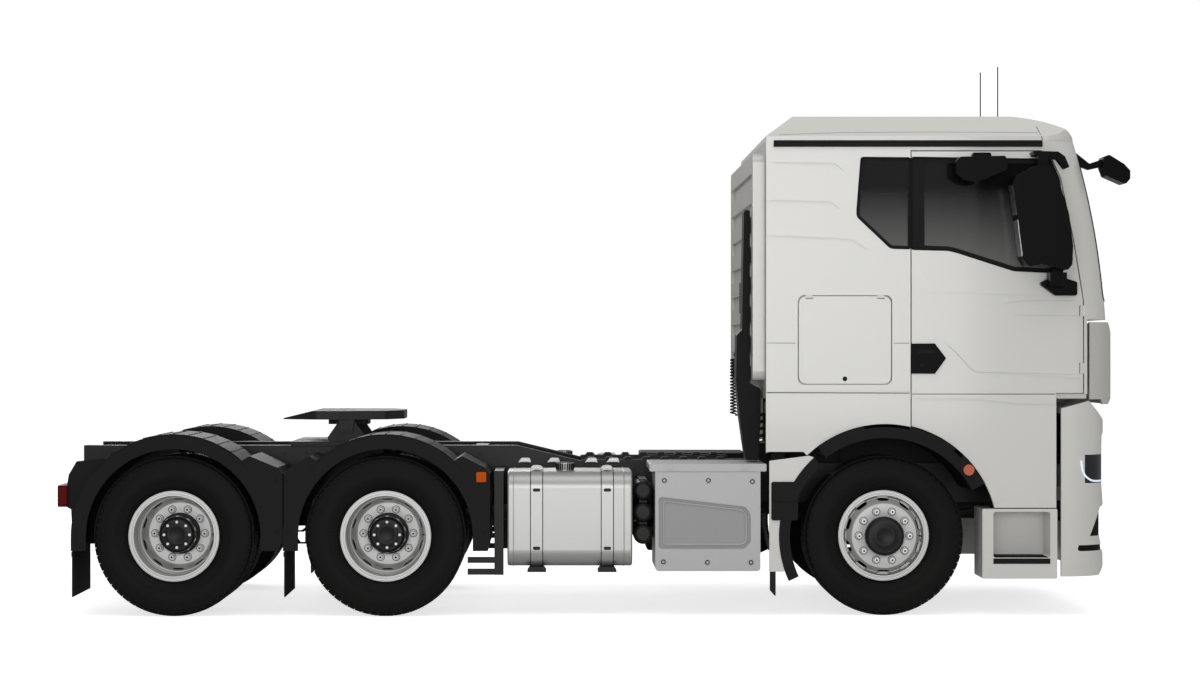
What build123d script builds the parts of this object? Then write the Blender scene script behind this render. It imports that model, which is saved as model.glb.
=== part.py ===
"""Cab-over tractor unit with two driven rear axles, after the real machine's own assembly.

Millimetres. +X is forward, +Y is the vehicle's left, +Z is up. The origin is on the ground at the
middle of the vehicle's box. Side profiles are drawn from the point on the ground below the front
axle, so a profile's first number is the distance ahead of that axle and its second the height.
"""
import os
from math import cos, radians, sin, sqrt

from build123d import *

os.makedirs("parts", exist_ok=True)

# ---------------------------------------------------------------- driving dimensions
front_axle_x = 1902.0          # front axle ahead of the middle of the vehicle's box
wheelbase = 3300.0             # front axle to first rear axle
tandem_spacing = 1400.0        # first rear axle to second rear axle
half_width = 1220.0            # cab side to the vehicle's middle plane
shut_gap = 7.0                 # gap round doors, flaps and lids
running_gap = 0.3              # gap where one piece turns or slides on another
seat_gap = 0.3                 # gap between pieces that rest on each other across a joint

# wheels
tyre_radius = 530.0
tyre_width = 304.0
bead_radius = 287.0            # where the tyre sits on the rim
rim_half_width = 127.0
front_track_half = 1020.0      # middle of the front tyre
twin_middle = 917.5            # middle of a twin pair, where both discs are bolted together
twin_spacing = 350.0           # middle of the outer tyre to middle of the inner one
spindle_radius = 45.0
kingpin_y = 850.0
kingpin_radius = 24.0

# frame
rail_middle = 378.0
rail_height = 270.0
rail_width = 85.0
rail_wall = 10.0
rail_front = 1290.0
rail_rear = -5440.0
rail_low_top = 978.0
rail_high_top = 1102.0
rail_slope_front = -1940.0
rail_slope_rear = -2450.0

# cab
cab_rear = -785.0
cab_gutter = 3147.0            # joint between body and roof
cab_floor_low = 1440.0
cab_floor_top = 1500.0
cab_wall = 60.0
cab_corner = 250.0             # plan radius of the front corners
cab_front_low = 1340.0         # front wall behind the front flap
skirt_bottom = 1088.0
skirt_wall = 38.0
windscreen_foot = (1505.0, 1962.0)
windscreen_mid = (1440.0, 2500.0)
windscreen_head = (1288.0, 3147.0)
tilt_x = 1317.0                # cab tilt pivot
tilt_z = 1280.0
tilt_pin_radius = 22.0
glass_thickness = 8.0
arch_radius = 650.0            # cab wheel arch, inside
arch_trim_radius = 742.0       # its black trim, outside

# door
door_rear = 170.0
door_front = 1318.0
door_thickness = 62.0
door_hinge_x = 1300.0
door_hinge_y = 1208.0
hinge_barrel = 9.0
hinge_height = 70.0

# front end
bumper_rear = 1166.0
bumper_wall = 30.0
flap_wall = 40.0
flap_front = 1540.0

# fifth wheel
coupling_x = -3625.0
coupling_top = 1340.0
coupling_pivot_z = 1238.0
coupling_pin_radius = 25.0
kingpin_bore = 25.6            # half of a 2 inch kingpin with its clearance


# ---------------------------------------------------------------- planes and outlines
def side_plane(y):
    """Upright plane along the vehicle; it extrudes towards the right, which is -Y."""
    return Plane(origin=(front_axle_x, y, 0), x_dir=(1, 0, 0), z_dir=(0, -1, 0))


def level_plane(z):
    """Level plane at height z; its x runs ahead of the front axle."""
    return Plane(origin=(front_axle_x, 0, z))


def cross_plane(x):
    """Upright plane across the vehicle; its x is the vehicle's Y and it extrudes forward."""
    return Plane(origin=(front_axle_x + x, 0, 0), x_dir=(0, 1, 0), z_dir=(1, 0, 0))


def outline(plane, points, radius=0.0, grow=0.0):
    """Closed outline through the points, with every corner rounded and grown outwards."""
    with BuildSketch(plane) as drawn:
        with BuildLine():
            Polyline(*points, close=True)
        make_face()
        if radius:
            fillet(drawn.vertices(), radius)
        if grow:
            offset(amount=grow, kind=Kind.INTERSECTION if grow > 0 else Kind.ARC)
    return drawn.sketch


def block(plane, low, high, radius=0.0):
    """Rectangle between two corners on a plane."""
    points = (low, (high[0], low[1]), high, (low[0], high[1]))
    return outline(plane, points, radius)


def crease(plane, points, width):
    """Narrow band of the given width that follows an open line."""
    with BuildSketch(plane) as drawn:
        with BuildLine() as line:
            Polyline(*points)
        trace(line.wires()[0], line_width=width)
    return drawn.sketch


def arch_sector(plane, centre, inner, outer, start, end):
    """Piece of a ring about a centre on the plane, between two angles in degrees."""
    def on_ring(radius, angle):
        turn = radians(angle)
        return (centre[0] + radius * cos(turn), centre[1] + radius * sin(turn))

    middle = (start + end) / 2
    with BuildSketch(plane) as drawn:
        with BuildLine():
            ThreePointArc(on_ring(outer, start), on_ring(outer, middle), on_ring(outer, end))
            Line(on_ring(outer, end), on_ring(inner, end))
            ThreePointArc(on_ring(inner, end), on_ring(inner, middle), on_ring(inner, start))
            Line(on_ring(inner, start), on_ring(outer, start))
        make_face()
    return drawn.sketch


def save(part, name):
    part.label = name
    export_step(part, f"parts/{name}.step")


HANDS = (("right", False), ("left", True))


def handed(part, is_left):
    """The right-hand piece, or its mirror image for the left."""
    return mirror(part, about=Plane.XZ, mode=Mode.PRIVATE) if is_left else part


# ---------------------------------------------------------------- wheels and tyres
def wheel_plane(axle, middle):
    """Half plane through a right-hand wheel: x is outwards from its middle, y is the radius."""
    origin = (front_axle_x + axle, -middle, tyre_radius)
    return Plane(origin=origin, x_dir=(0, -1, 0), z_dir=(-1, 0, 0))


def wheel_axis(axle):
    return Axis((front_axle_x + axle, 0, tyre_radius), (0, -1, 0))


def tyre_section(plane):
    bead = rim_half_width - 15
    shoulder = tyre_width / 2 - 16
    crown = tyre_width / 2 - 34
    with BuildSketch(plane) as section:
        with BuildLine():
            Line((-bead, bead_radius), (bead, bead_radius))
            Line((bead, bead_radius), (bead, bead_radius + 15))
            ThreePointArc((bead, bead_radius + 15), (tyre_width / 2, 400), (shoulder, 498))
            Line((shoulder, 498), (crown, tyre_radius - 3))
            ThreePointArc((crown, tyre_radius - 3), (0, tyre_radius), (-crown, tyre_radius - 3))
            Line((-crown, tyre_radius - 3), (-shoulder, 498))
            ThreePointArc((-shoulder, 498), (-tyre_width / 2, 400), (-bead, bead_radius + 15))
            Line((-bead, bead_radius + 15), (-bead, bead_radius))
        make_face()
    return section.sketch


def rim_section(plane, disc_face, bore):
    """Drop-centre rim with its pressed disc; disc_face is the disc's far side from the middle."""
    edge = rim_half_width
    seat = bead_radius - running_gap
    tip = 300.0
    turn = 1 if disc_face > 0 else -1
    face = abs(disc_face)
    back = face - 14
    points = (
        (-edge, seat - 20), (-edge, tip), (-edge + 13, tip), (-edge + 13, seat), (edge - 13, seat),
        (edge - 13, tip), (edge, tip), (edge, seat - 20), (84, seat - 26), (face, 214),
        (face, bore), (back, bore), (back, 206), (64, seat - 44), (44, seat - 20),
    )
    return outline(plane, [(turn * across, radius) for across, radius in points])


hub_bolt_circle = 335.0
hub_bolt_count = 10
hand_hole_radius = 245.0
hand_hole_size = (82.0, 32.0)


def wheel_nuts(axle, face):
    """Ring of hexagon nuts standing out from the disc at face, in distance from the middle."""
    plane = Plane(origin=(front_axle_x + axle, -face, tyre_radius), x_dir=(1, 0, 0),
                  z_dir=(0, -1, 0))
    with BuildSketch(plane) as nuts:
        with PolarLocations(hub_bolt_circle / 2, hub_bolt_count):
            RegularPolygon(radius=19, side_count=6)
    return nuts.sketch


def hand_holes(axle, face):
    plane = Plane(origin=(front_axle_x + axle, -face, tyre_radius), x_dir=(1, 0, 0),
                  z_dir=(0, -1, 0))
    with BuildSketch(plane) as holes:
        with PolarLocations(hand_hole_radius, hub_bolt_count, start_angle=18):
            SlotOverall(hand_hole_size[0], hand_hole_size[1], rotation=90)
    return holes.sketch


front_disc = 150.0             # front disc's outer side, outwards of the tyre's middle
twin_disc = 14.0               # a twin's disc is this thick, and two meet at twin_middle

for hand, is_left in HANDS:
    with BuildPart() as front_tyre:
        revolve(tyre_section(wheel_plane(0, front_track_half)), wheel_axis(0))
    save(handed(front_tyre.part, is_left), f"front_tyre_{hand}")

    with BuildPart() as front_wheel:
        revolve(rim_section(wheel_plane(0, front_track_half), front_disc, 120), wheel_axis(0))
        extrude(hand_holes(0, front_track_half + 60), amount=140, mode=Mode.SUBTRACT)
        extrude(wheel_nuts(0, front_track_half + front_disc), amount=34)
        hub_points = (
            (-86, spindle_radius + running_gap), (-86, 190), (30, 190), (30, 150),
            (front_disc - 30, 150), (front_disc - 30, 190), (front_disc - 14, 190),
            (front_disc - 14, 128), (front_disc + 42, 128), (front_disc + 58, 108),
            (front_disc + 58, 0), (front_disc + 20, 0), (front_disc + 20, spindle_radius + running_gap),
        )
        revolve(outline(wheel_plane(0, front_track_half), hub_points), wheel_axis(0))
    save(handed(front_wheel.part, is_left), f"front_wheel_{hand}")

    for place, axle in (("mid", -wheelbase), ("rear", -wheelbase - tandem_spacing)):
        outer_middle = twin_middle + twin_spacing / 2
        inner_middle = twin_middle - twin_spacing / 2
        with BuildPart() as twin_tyres:
            revolve(tyre_section(wheel_plane(axle, outer_middle)), wheel_axis(axle))
            revolve(tyre_section(wheel_plane(axle, inner_middle)), wheel_axis(axle))
        save(handed(twin_tyres.part, is_left), f"{place}_tyres_{hand}")

        with BuildPart() as twin_wheel:
            outward = twin_spacing / 2
            revolve(rim_section(wheel_plane(axle, outer_middle), -outward, 120),
                    wheel_axis(axle))
            extrude(hand_holes(axle, twin_middle - 60), amount=160, mode=Mode.SUBTRACT)
            revolve(rim_section(wheel_plane(axle, inner_middle), outward + 1, 120), wheel_axis(axle))
            extrude(wheel_nuts(axle, twin_middle + twin_disc - 1), amount=35)
            hub_points = (
                (-190, spindle_radius + running_gap), (-190, 205), (-60, 205), (-60, 150),
                (-30, 150), (-30, 190), (-13, 190), (-13, 121), (150, 121), (166, 100), (166, 0),
                (120, 0), (120, spindle_radius + running_gap),
            )
            revolve(outline(wheel_plane(axle, twin_middle), hub_points), wheel_axis(axle))
        save(handed(twin_wheel.part, is_left), f"{place}_wheel_{hand}")

# ---------------------------------------------------------------- front axle and knuckles
axle_eye = 46.0                # half height of the axle's eye on the kingpin
knuckle_ear = 30.0
spring_width = 90.0
spring_half_length = 820.0

for hand, is_left in HANDS:
    with BuildPart() as knuckle:
        with Locations((front_axle_x, -kingpin_y, tyre_radius)):
            Cylinder(kingpin_radius, 2 * (axle_eye + knuckle_ear))
        for ear_side in (-1, 1):
            ear_z = tyre_radius + ear_side * (axle_eye + seat_gap + knuckle_ear / 2)
            with Locations((front_axle_x, -kingpin_y, ear_z)):
                Cylinder(52, knuckle_ear)
            with Locations((front_axle_x, -kingpin_y - 48, ear_z)):
                Box(90, 60, knuckle_ear)
        with Locations((front_axle_x, -kingpin_y - 64, tyre_radius)):
            Box(104, 28, 2 * (axle_eye + knuckle_ear + seat_gap))
        spindle_root = -kingpin_y - 60
        spindle_tip = -front_track_half - front_disc + 4
        with Locations((front_axle_x, (spindle_root + spindle_tip) / 2, tyre_radius)):
            Cylinder(spindle_radius, spindle_root - spindle_tip, rotation=(90, 0, 0))
        with Locations((front_axle_x - 130, -kingpin_y + 6, tyre_radius - axle_eye - 16)):
            Box(200, 40, 26)
    save(handed(knuckle.part, is_left), f"knuckle_{hand}")

with BuildPart() as front_axle:
    beam = ((-60, 470), (-60, 590), (60, 590), (60, 470))
    beam_points = (
        (0, 430), (-520, 430), (-700, tyre_radius - axle_eye), (-kingpin_y, tyre_radius - axle_eye),
        (-kingpin_y, tyre_radius + axle_eye), (-690, tyre_radius + axle_eye), (-500, 540), (0, 540),
    )
    extrude(outline(cross_plane(-48), beam_points), amount=96)
    with Locations((front_axle_x, -kingpin_y, tyre_radius)):
        Cylinder(48, 2 * axle_eye)
        Cylinder(kingpin_radius + running_gap, 2 * axle_eye, mode=Mode.SUBTRACT)
    spring_points = (
        (-spring_half_length, 640), (0, 540), (spring_half_length, 640),
        (spring_half_length, 670), (0, 600), (-spring_half_length, 670),
    )
    extrude(outline(side_plane(-rail_middle + spring_width / 2), spring_points),
            amount=spring_width)
    for hanger in (-1, 1):
        low = (hanger * spring_half_length - 35, 630)
        high = (hanger * spring_half_length + 35, rail_low_top - rail_height)
        extrude(block(side_plane(-rail_middle + 40), low, high), amount=80)
    mirror(about=Plane.XZ)
save(front_axle.part, "front_axle")

# ---------------------------------------------------------------- frame
guard_x = -2552.0              # wheel guard's post
guard_y = 1150.0
guard_arm_z = 930.0
guard_tube = 60.0
guard_bar = 38.0
guard_bar_length = 208.0
guard_bars = (368.0, 290.0)
with BuildPart() as frame:
    rail_points = (
        (rail_front, rail_low_top), (rail_slope_front, rail_low_top),
        (rail_slope_rear, rail_high_top), (rail_rear, rail_high_top),
        (rail_rear, rail_high_top - rail_height), (rail_slope_rear, rail_high_top - rail_height),
        (rail_slope_front, rail_low_top - rail_height), (rail_front, rail_low_top - rail_height),
    )
    web = -rail_middle - rail_width / 2
    extrude(outline(side_plane(web + rail_width), rail_points), amount=rail_width)
    extrude(outline(side_plane(web + rail_width), rail_points, grow=-rail_wall),
            amount=rail_width - rail_wall, mode=Mode.SUBTRACT)
    mirror(about=Plane.XZ)
    # cross members: place ahead of the front axle, middle height, length, height
    for place, height, length, depth in (
        (1240, 843, 80, 200), (-880, 920, 90, 100), (-1700, 920, 90, 100), (-2700, 1040, 90, 100),
        (-4000, 967, 160, 220), (-5380, 967, 90, 220),
    ):
        with Locations((front_axle_x + place, 0, height)):
            Box(length, 2 * (rail_middle + rail_width / 2) - 2 * rail_wall, depth)
    # lamp bar across the rear end
    with Locations((front_axle_x + rail_rear + 20, 0, 800)):
        Box(40, 2080, 60)
    for hanger_y in (-rail_middle, rail_middle):
        with Locations((front_axle_x + rail_rear + 20, hanger_y, 826)):
            Box(40, 70, 60)
    # guard ahead of the first twin wheel: arm from the rail, post and two bars
    for guard_side in (-1, 1):
        guard_root = rail_middle + rail_width / 2 - 1
        with Locations((front_axle_x + guard_x, guard_side * (guard_root + guard_y) / 2, guard_arm_z)):
            Box(guard_tube, guard_y - guard_root, guard_tube)
        post_height = guard_arm_z + guard_tube / 2 - guard_bars[-1] + guard_bar / 2
        with Locations((front_axle_x + guard_x, guard_side * guard_y,
                        guard_bars[-1] - guard_bar / 2 + post_height / 2)):
            Box(guard_tube, guard_tube, post_height)
        for bar_z in guard_bars:
            with Locations((front_axle_x + guard_x - guard_bar_length / 2, guard_side * guard_y, bar_z)):
                Box(guard_bar_length, guard_bar, guard_bar)
save(frame.part, "frame")

# ---------------------------------------------------------------- cab mounts on the frame
lug_y = 410.0                  # middle of the cab's tilt lugs
lug_thickness = 40.0
fork_plate = 25.0
with BuildPart() as cab_mounts:
    fork_points = (
        (tilt_x - 110, rail_low_top), (tilt_x - 45, tilt_z + 45), (tilt_x + 45, tilt_z + 45),
        (tilt_x + 50, rail_low_top),
    )
    for plate_y in (lug_y + lug_thickness / 2 + 6, lug_y - lug_thickness / 2 - 6 - fork_plate):
        extrude(outline(side_plane(-plate_y), fork_points, radius=12), amount=fork_plate)
    with Locations((front_axle_x + tilt_x, -lug_y, tilt_z)):
        Cylinder(tilt_pin_radius, lug_thickness + 12 + 2 * fork_plate, rotation=(90, 0, 0))
    # foot that ties the fork to the rail's front end
    with Locations((front_axle_x + tilt_x - 30, -lug_y, rail_low_top + 30)):
        Box(160, lug_thickness + 12 + 2 * fork_plate, 60)
    # rear support: post and cushion under the cab's floor
    with Locations((front_axle_x - 640, -rail_middle, (rail_low_top + cab_floor_low) / 2)):
        Box(90, 80, cab_floor_low - rail_low_top - 2 * seat_gap)
    mirror(about=Plane.XZ)
    with Locations((front_axle_x - 640, 0, cab_floor_low - 90)):
        Box(70, 2 * rail_middle, 80)
save(cab_mounts.part, "cab_mounts")

# ---------------------------------------------------------------- engine, radiator, gearbox
with BuildPart() as engine:
    with Locations((front_axle_x + 330, 0, 950)):
        Box(1060, 560, 720)
    with Locations((front_axle_x - 480, 0, 880)):
        Box(560, 480, 460)
    with Locations((front_axle_x + 330, 0, 1330)):
        Box(900, 320, 60)
    # four mounts between the block and the webs of the rails
    inner_web = rail_middle + rail_width / 2 - rail_wall
    for mount_x in (700, -560):
        with Locations((front_axle_x + mount_x, 0, 850)):
            Box(90, 2 * inner_web - 2 * seat_gap, 90)
    # radiator with its fan shroud
    with Locations((front_axle_x + 1010, 0, 930)):
        Box(90, 640, 660)
    with Locations((front_axle_x + 910, 0, 930)):
        Cylinder(300, 130, rotation=(0, 90, 0))
    # shaft to the rear axles
    shaft_front = (-750.0, 790.0)
    shaft_rear = (-wheelbase + 225, 560.0)
    shaft_plane = Plane(origin=(front_axle_x + shaft_front[0], 0, shaft_front[1]),
                        z_dir=(shaft_rear[0] - shaft_front[0], 0, shaft_rear[1] - shaft_front[1]))
    with BuildSketch(shaft_plane) as shaft:
        Circle(55)
    extrude(shaft.sketch, amount=sqrt((shaft_rear[0] - shaft_front[0]) ** 2
                                      + (shaft_rear[1] - shaft_front[1]) ** 2))
save(engine.part, "engine")

# ---------------------------------------------------------------- rear axles and bogie springs
axle_tube = 88.0
bogie_middle = -wheelbase - tandem_spacing / 2
bogie_spring_y = 485.0
with BuildPart() as rear_axles:
    for axle in (-wheelbase, -wheelbase - tandem_spacing):
        with Locations((front_axle_x + axle, 0, tyre_radius)):
            Cylinder(axle_tube, 2 * 640, rotation=(90, 0, 0))
            Cylinder(spindle_radius, 2 * (twin_middle + 100), rotation=(90, 0, 0))
            Sphere(215)
        for hand_sign in (-1, 1):
            with Locations((front_axle_x + axle, hand_sign * bogie_spring_y, 640)):
                Box(150, 110, 90)
    spring_points = (
        (bogie_middle - 780, 660), (bogie_middle, 760), (bogie_middle + 780, 660),
        (bogie_middle + 780, 690), (bogie_middle + 160, 860), (bogie_middle - 160, 860),
        (bogie_middle - 780, 690),
    )
    for spring_y in (-bogie_spring_y + 45, bogie_spring_y + 45):
        extrude(outline(side_plane(spring_y), spring_points), amount=90)
    for hand_sign in (-1, 1):
        rail_face = rail_middle + rail_width / 2 + seat_gap
        with Locations((front_axle_x + bogie_middle, hand_sign * (rail_face + 55), 900)):
            Box(300, 110, 120)
save(rear_axles.part, "rear_axles")

# ---------------------------------------------------------------- fifth wheel
pedestal_y = 378.0
pedestal_thickness = 40.0
with BuildPart() as fifth_wheel_mount:
    with Locations((front_axle_x + coupling_x, 0, rail_high_top + 14)):
        Box(760, 960, 28)
    pedestal_points = (
        (coupling_x - 150, rail_high_top + 28), (coupling_x - 48, coupling_pivot_z + 40),
        (coupling_x + 48, coupling_pivot_z + 40), (coupling_x + 150, rail_high_top + 28),
    )
    extrude(outline(side_plane(-pedestal_y + pedestal_thickness / 2), pedestal_points, radius=20),
            amount=pedestal_thickness)
    with Locations((front_axle_x + coupling_x, -pedestal_y, coupling_pivot_z)):
        Cylinder(coupling_pin_radius, pedestal_thickness + 70, rotation=(90, 0, 0))
    mirror(about=Plane.XZ)
save(fifth_wheel_mount.part, "fifth_wheel_mount")

plate_front = 387.0            # ahead of the kingpin
plate_rear = 448.0
plate_half = 450.0
plate_skin = 14.0
plate_depth = 60.0
throat_mouth = 190.0
with BuildPart() as fifth_wheel_plate:
    plate_points = (
        (coupling_x + plate_front, -180), (coupling_x + plate_front - 110, -plate_half + 60),
        (coupling_x - 60, -plate_half), (coupling_x - 210, -plate_half),
        (coupling_x - plate_rear, -plate_half + 130), (coupling_x - plate_rear, plate_half - 130),
        (coupling_x - 210, plate_half), (coupling_x - 60, plate_half),
        (coupling_x + plate_front - 110, plate_half - 60), (coupling_x + plate_front, 180),
    )
    extrude(outline(level_plane(coupling_top - plate_depth), plate_points, radius=40),
            amount=plate_depth)
    # ramp tail: the underside stays level, the top falls away to a thin edge
    tail_points = (
        (coupling_x - 230, coupling_top + 1), (coupling_x - plate_rear - 10, coupling_top + 1),
        (coupling_x - plate_rear - 10, coupling_top - plate_depth + 5),
    )
    extrude(outline(side_plane(plate_half + 10), tail_points), amount=2 * plate_half + 20,
            mode=Mode.SUBTRACT)
    # hollow underside between the skin and the rim
    extrude(outline(level_plane(coupling_top - plate_depth), plate_points, radius=40, grow=-26),
            amount=plate_depth - plate_skin, mode=Mode.SUBTRACT)
    # lock housing round the kingpin and the throat's cheeks
    extrude(block(level_plane(coupling_top - plate_depth - 40), (coupling_x - 150, -130),
                  (coupling_x + 130, 130), 20), amount=plate_depth + 40)
    # pivot lugs either side of the pedestals
    for lug in (pedestal_y - pedestal_thickness / 2 - 8 - 22, pedestal_y + pedestal_thickness / 2 + 8):
        lug_points = (
            (coupling_x - 42, coupling_pivot_z - 42), (coupling_x - 60, coupling_top - plate_skin),
            (coupling_x + 60, coupling_top - plate_skin), (coupling_x + 42, coupling_pivot_z - 42),
        )
        for lug_side in (-lug, lug + 22):
            extrude(outline(side_plane(lug_side), lug_points, radius=12), amount=22)
    with Locations((front_axle_x + coupling_x, 0, coupling_pivot_z)):
        Cylinder(coupling_pin_radius + running_gap, 2 * plate_half + 100, rotation=(90, 0, 0),
                 mode=Mode.SUBTRACT)
    # throat, open to the rear, and the bore that closes on the kingpin
    throat_points = (
        (coupling_x, -kingpin_bore), (coupling_x - 170, -kingpin_bore),
        (coupling_x - plate_rear - 20, -throat_mouth), (coupling_x - plate_rear - 20, throat_mouth),
        (coupling_x - 170, kingpin_bore), (coupling_x, kingpin_bore),
    )
    extrude(outline(level_plane(coupling_top - plate_depth - 60), throat_points),
            amount=plate_depth + 100, mode=Mode.SUBTRACT)
    with Locations((front_axle_x + coupling_x, 0, coupling_top - 50)):
        Cylinder(kingpin_bore, 140, mode=Mode.SUBTRACT)
save(fifth_wheel_plate.part, "fifth_wheel_plate")

# ---------------------------------------------------------------- fuel tanks
tank_rear = -2496.0
tank_front = -1668.0
tank_low = 327.0
tank_high = 958.0
tank_inner = 560.0
tank_outer = 1210.0
tank_corner = 110.0
strap_thickness = 5.0
strap_width = 75.0
strap_middles = (-2302.0, -1834.0)


def tank_outline(x, grow=0.0):
    low = (-tank_outer - grow, tank_low - grow)
    high = (-tank_inner + grow, tank_high + grow)
    return block(cross_plane(x), low, high, tank_corner + grow)


with BuildPart() as fuel_tanks:
    extrude(tank_outline(tank_rear), amount=tank_front - tank_rear)
    fillet(fuel_tanks.edges().group_by(Axis.X)[0] + fuel_tanks.edges().group_by(Axis.X)[-1], 14)
    filler = (front_axle_x - 2114, -1040, tank_high + 22)
    with Locations(filler):
        Cylinder(58, 60)
    mirror(about=Plane.XZ)
save(fuel_tanks.part, "fuel_tanks")

with BuildPart() as tank_straps:
    for middle in strap_middles:
        rear = middle - strap_width / 2
        extrude(tank_outline(rear, strap_thickness + seat_gap), amount=strap_width)
        extrude(tank_outline(rear, seat_gap), amount=strap_width, mode=Mode.SUBTRACT)
        # bracket that carries the tank from the rail's web
        rail_face = rail_middle + rail_width / 2 + seat_gap
        bracket_points = (
            (-rail_face, 720), (-rail_face, 930), (-tank_inner + 6, 930), (-tank_inner + 6, 320),
            (-1120, 320), (-1120, 290), (-tank_inner + 40, 290),
        )
        extrude(outline(cross_plane(middle - 30), bracket_points), amount=60)
        extrude(tank_outline(rear, seat_gap), amount=strap_width, mode=Mode.SUBTRACT)
    mirror(about=Plane.XZ)
save(tank_straps.part, "tank_straps")

# ---------------------------------------------------------------- air tanks
air_tank_x = -1594.0
air_tank_radius = 66.0
air_tank_inner = 470.0
air_tank_outer = 1120.0
air_tank_heights = (535.0, 680.0, 825.0)
with BuildPart() as air_tanks:
    for tank_z in air_tank_heights:
        with Locations((front_axle_x + air_tank_x, -(air_tank_inner + air_tank_outer) / 2, tank_z)):
            Cylinder(air_tank_radius, air_tank_outer - air_tank_inner, rotation=(90, 0, 0))
    fillet(air_tanks.edges().filter_by(GeomType.CIRCLE), 28)
    # carrier plate from the rail's web through the three tanks
    rail_face = rail_middle + rail_width / 2 + seat_gap
    with Locations((front_axle_x + air_tank_x, -(rail_face + air_tank_outer - 60) / 2, 700)):
        Box(50, air_tank_outer - 60 - rail_face, 400)
    mirror(about=Plane.XZ)
save(air_tanks.part, "air_tanks")

# ---------------------------------------------------------------- side boxes
box_rear = -1517.0
box_front = -822.0
box_low = 298.0
box_high = 971.0
box_inner = 600.0
box_outer = 1215.0


def side_box():
    """Box body with its lid, carried by two arms from the rail's web, right-hand."""
    rail_face = rail_middle + rail_width / 2 + seat_gap
    with BuildPart() as box:
        extrude(block(side_plane(-box_inner), (box_rear, box_low), (box_front, box_high), 24),
                amount=box_outer - box_inner)
        extrude(block(side_plane(-box_inner + 20), (box_rear - 38, box_high - 13),
                      (box_front + 40, box_high + 38), 10), amount=box_outer - box_inner + 24)
        for arm_x in (box_rear + 120, box_front - 180):
            extrude(block(side_plane(-rail_face), (arm_x, 720), (arm_x + 60, 930)),
                    amount=box_inner - rail_face + 10)
    return box


silencer_box = side_box()
wedge_points = (
    (-1494, 791), (-920, 725), (-887, 672), (-887, 487), (-930, 447), (-1494, 447),
)
with BuildPart() as silencer:
    add(silencer_box.part)
    extrude(outline(side_plane(-box_outer + 12), wedge_points, radius=25), amount=20,
            mode=Mode.SUBTRACT)
save(silencer.part, "silencer_box")

with BuildPart() as battery_box:
    add(handed(side_box().part, True))
save(battery_box.part, "battery_box")

# ---------------------------------------------------------------- rear fenders and mud flaps
fender_inner = 577.0
fender_outer = 676.0
fender_skin = 12.0
fender_lip = 22.0
fender_out_y = 1250.0
fender_in_y = 575.0
fender_bottom = 434.0
flap_bottom = 130.0

# flat wing at the end of a fender, ahead of or behind its axle: a reach of 0 leaves it plain
fender_wings = (
    # axle, reach ahead, reach behind
    (-wheelbase, 691.0, 671.0),
    (-wheelbase - tandem_spacing, 722.0, 0.0),
)


def wing_points(axle, reach, turn):
    """Side outline of a wing from the shoulder of the arch down to the fender's foot."""
    drawn = (
        (400.0, 1000.0), (505.0, 1061.0), (reach - 34.0, 984.0), (reach, 940.0), (reach, 490.0),
        (reach - 40.0, fender_bottom), (fender_inner + 4.0, fender_bottom), (fender_inner + 4.0, 700.0),
    )
    return [(axle + turn * ahead, height) for ahead, height in drawn]


with BuildPart() as rear_fenders:
    for axle, reach_ahead, reach_behind in fender_wings:
        inner = fender_inner
        outer = fender_outer
        with BuildSketch(side_plane(-fender_in_y)) as arch:
            with Locations((axle, tyre_radius)):
                Circle(outer)
                Circle(inner, mode=Mode.SUBTRACT)
            with Locations((axle, 0)):
                Rectangle(2 * outer + 10, 2 * tyre_radius, mode=Mode.SUBTRACT)
            for leg in (-1, 1):
                leg_height = tyre_radius + 2 - fender_bottom
                with Locations((axle + leg * (inner + outer) / 2, fender_bottom + leg_height / 2)):
                    Rectangle(outer - inner, leg_height)
        extrude(arch.sketch, amount=fender_out_y - fender_in_y)
        # wings: a closed outer plate and the shell behind it
        for reach, turn in ((reach_ahead, 1), (reach_behind, -1)):
            if reach:
                wing = wing_points(axle, reach, turn)
                extrude(outline(side_plane(-fender_in_y), wing), amount=fender_out_y - fender_in_y)
                extrude(outline(side_plane(-fender_in_y + 1), wing, grow=-fender_skin),
                        amount=fender_out_y - fender_in_y - fender_lip + 1, mode=Mode.SUBTRACT)
        with BuildSketch(side_plane(-fender_in_y - fender_lip)) as hollow:
            with Locations((axle, tyre_radius)):
                Circle(outer - fender_skin)
            with Locations((axle, tyre_radius / 2 + 100)):
                Rectangle(2 * (outer - fender_skin), tyre_radius)
        extrude(hollow.sketch, amount=fender_out_y - fender_in_y - 2 * fender_lip,
                mode=Mode.SUBTRACT)
        with BuildSketch(side_plane(-fender_in_y + 5)) as tyre_room:
            with Locations((axle, tyre_radius)):
                Circle(inner)
        extrude(tyre_room.sketch, amount=fender_out_y - fender_in_y + 10, mode=Mode.SUBTRACT)
        # moulded step that frames the arch on the outer face
        extrude(arch_sector(side_plane(-fender_out_y + 4), (axle, tyre_radius), outer - 14, outer - 6,
                            40, 140), amount=10, mode=Mode.SUBTRACT)
        # stays from the rail to the fender's top
        rail_face = rail_middle + rail_width / 2
        stay_low = tyre_radius + outer - 2
        for stay_x in (axle - 60, axle + 20):
            stay_points = (
                (-fender_in_y - 40, stay_low - 90), (-fender_in_y + 5, stay_low - 110),
                (-rail_face - seat_gap, 960), (-rail_face - seat_gap, 1010),
                (-fender_in_y + 5, stay_low - 60), (-fender_in_y - 40, stay_low - 40),
            )
            extrude(outline(cross_plane(stay_x), stay_points), amount=40)
    mirror(about=Plane.XZ)
save(rear_fenders.part, "rear_fenders")

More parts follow.
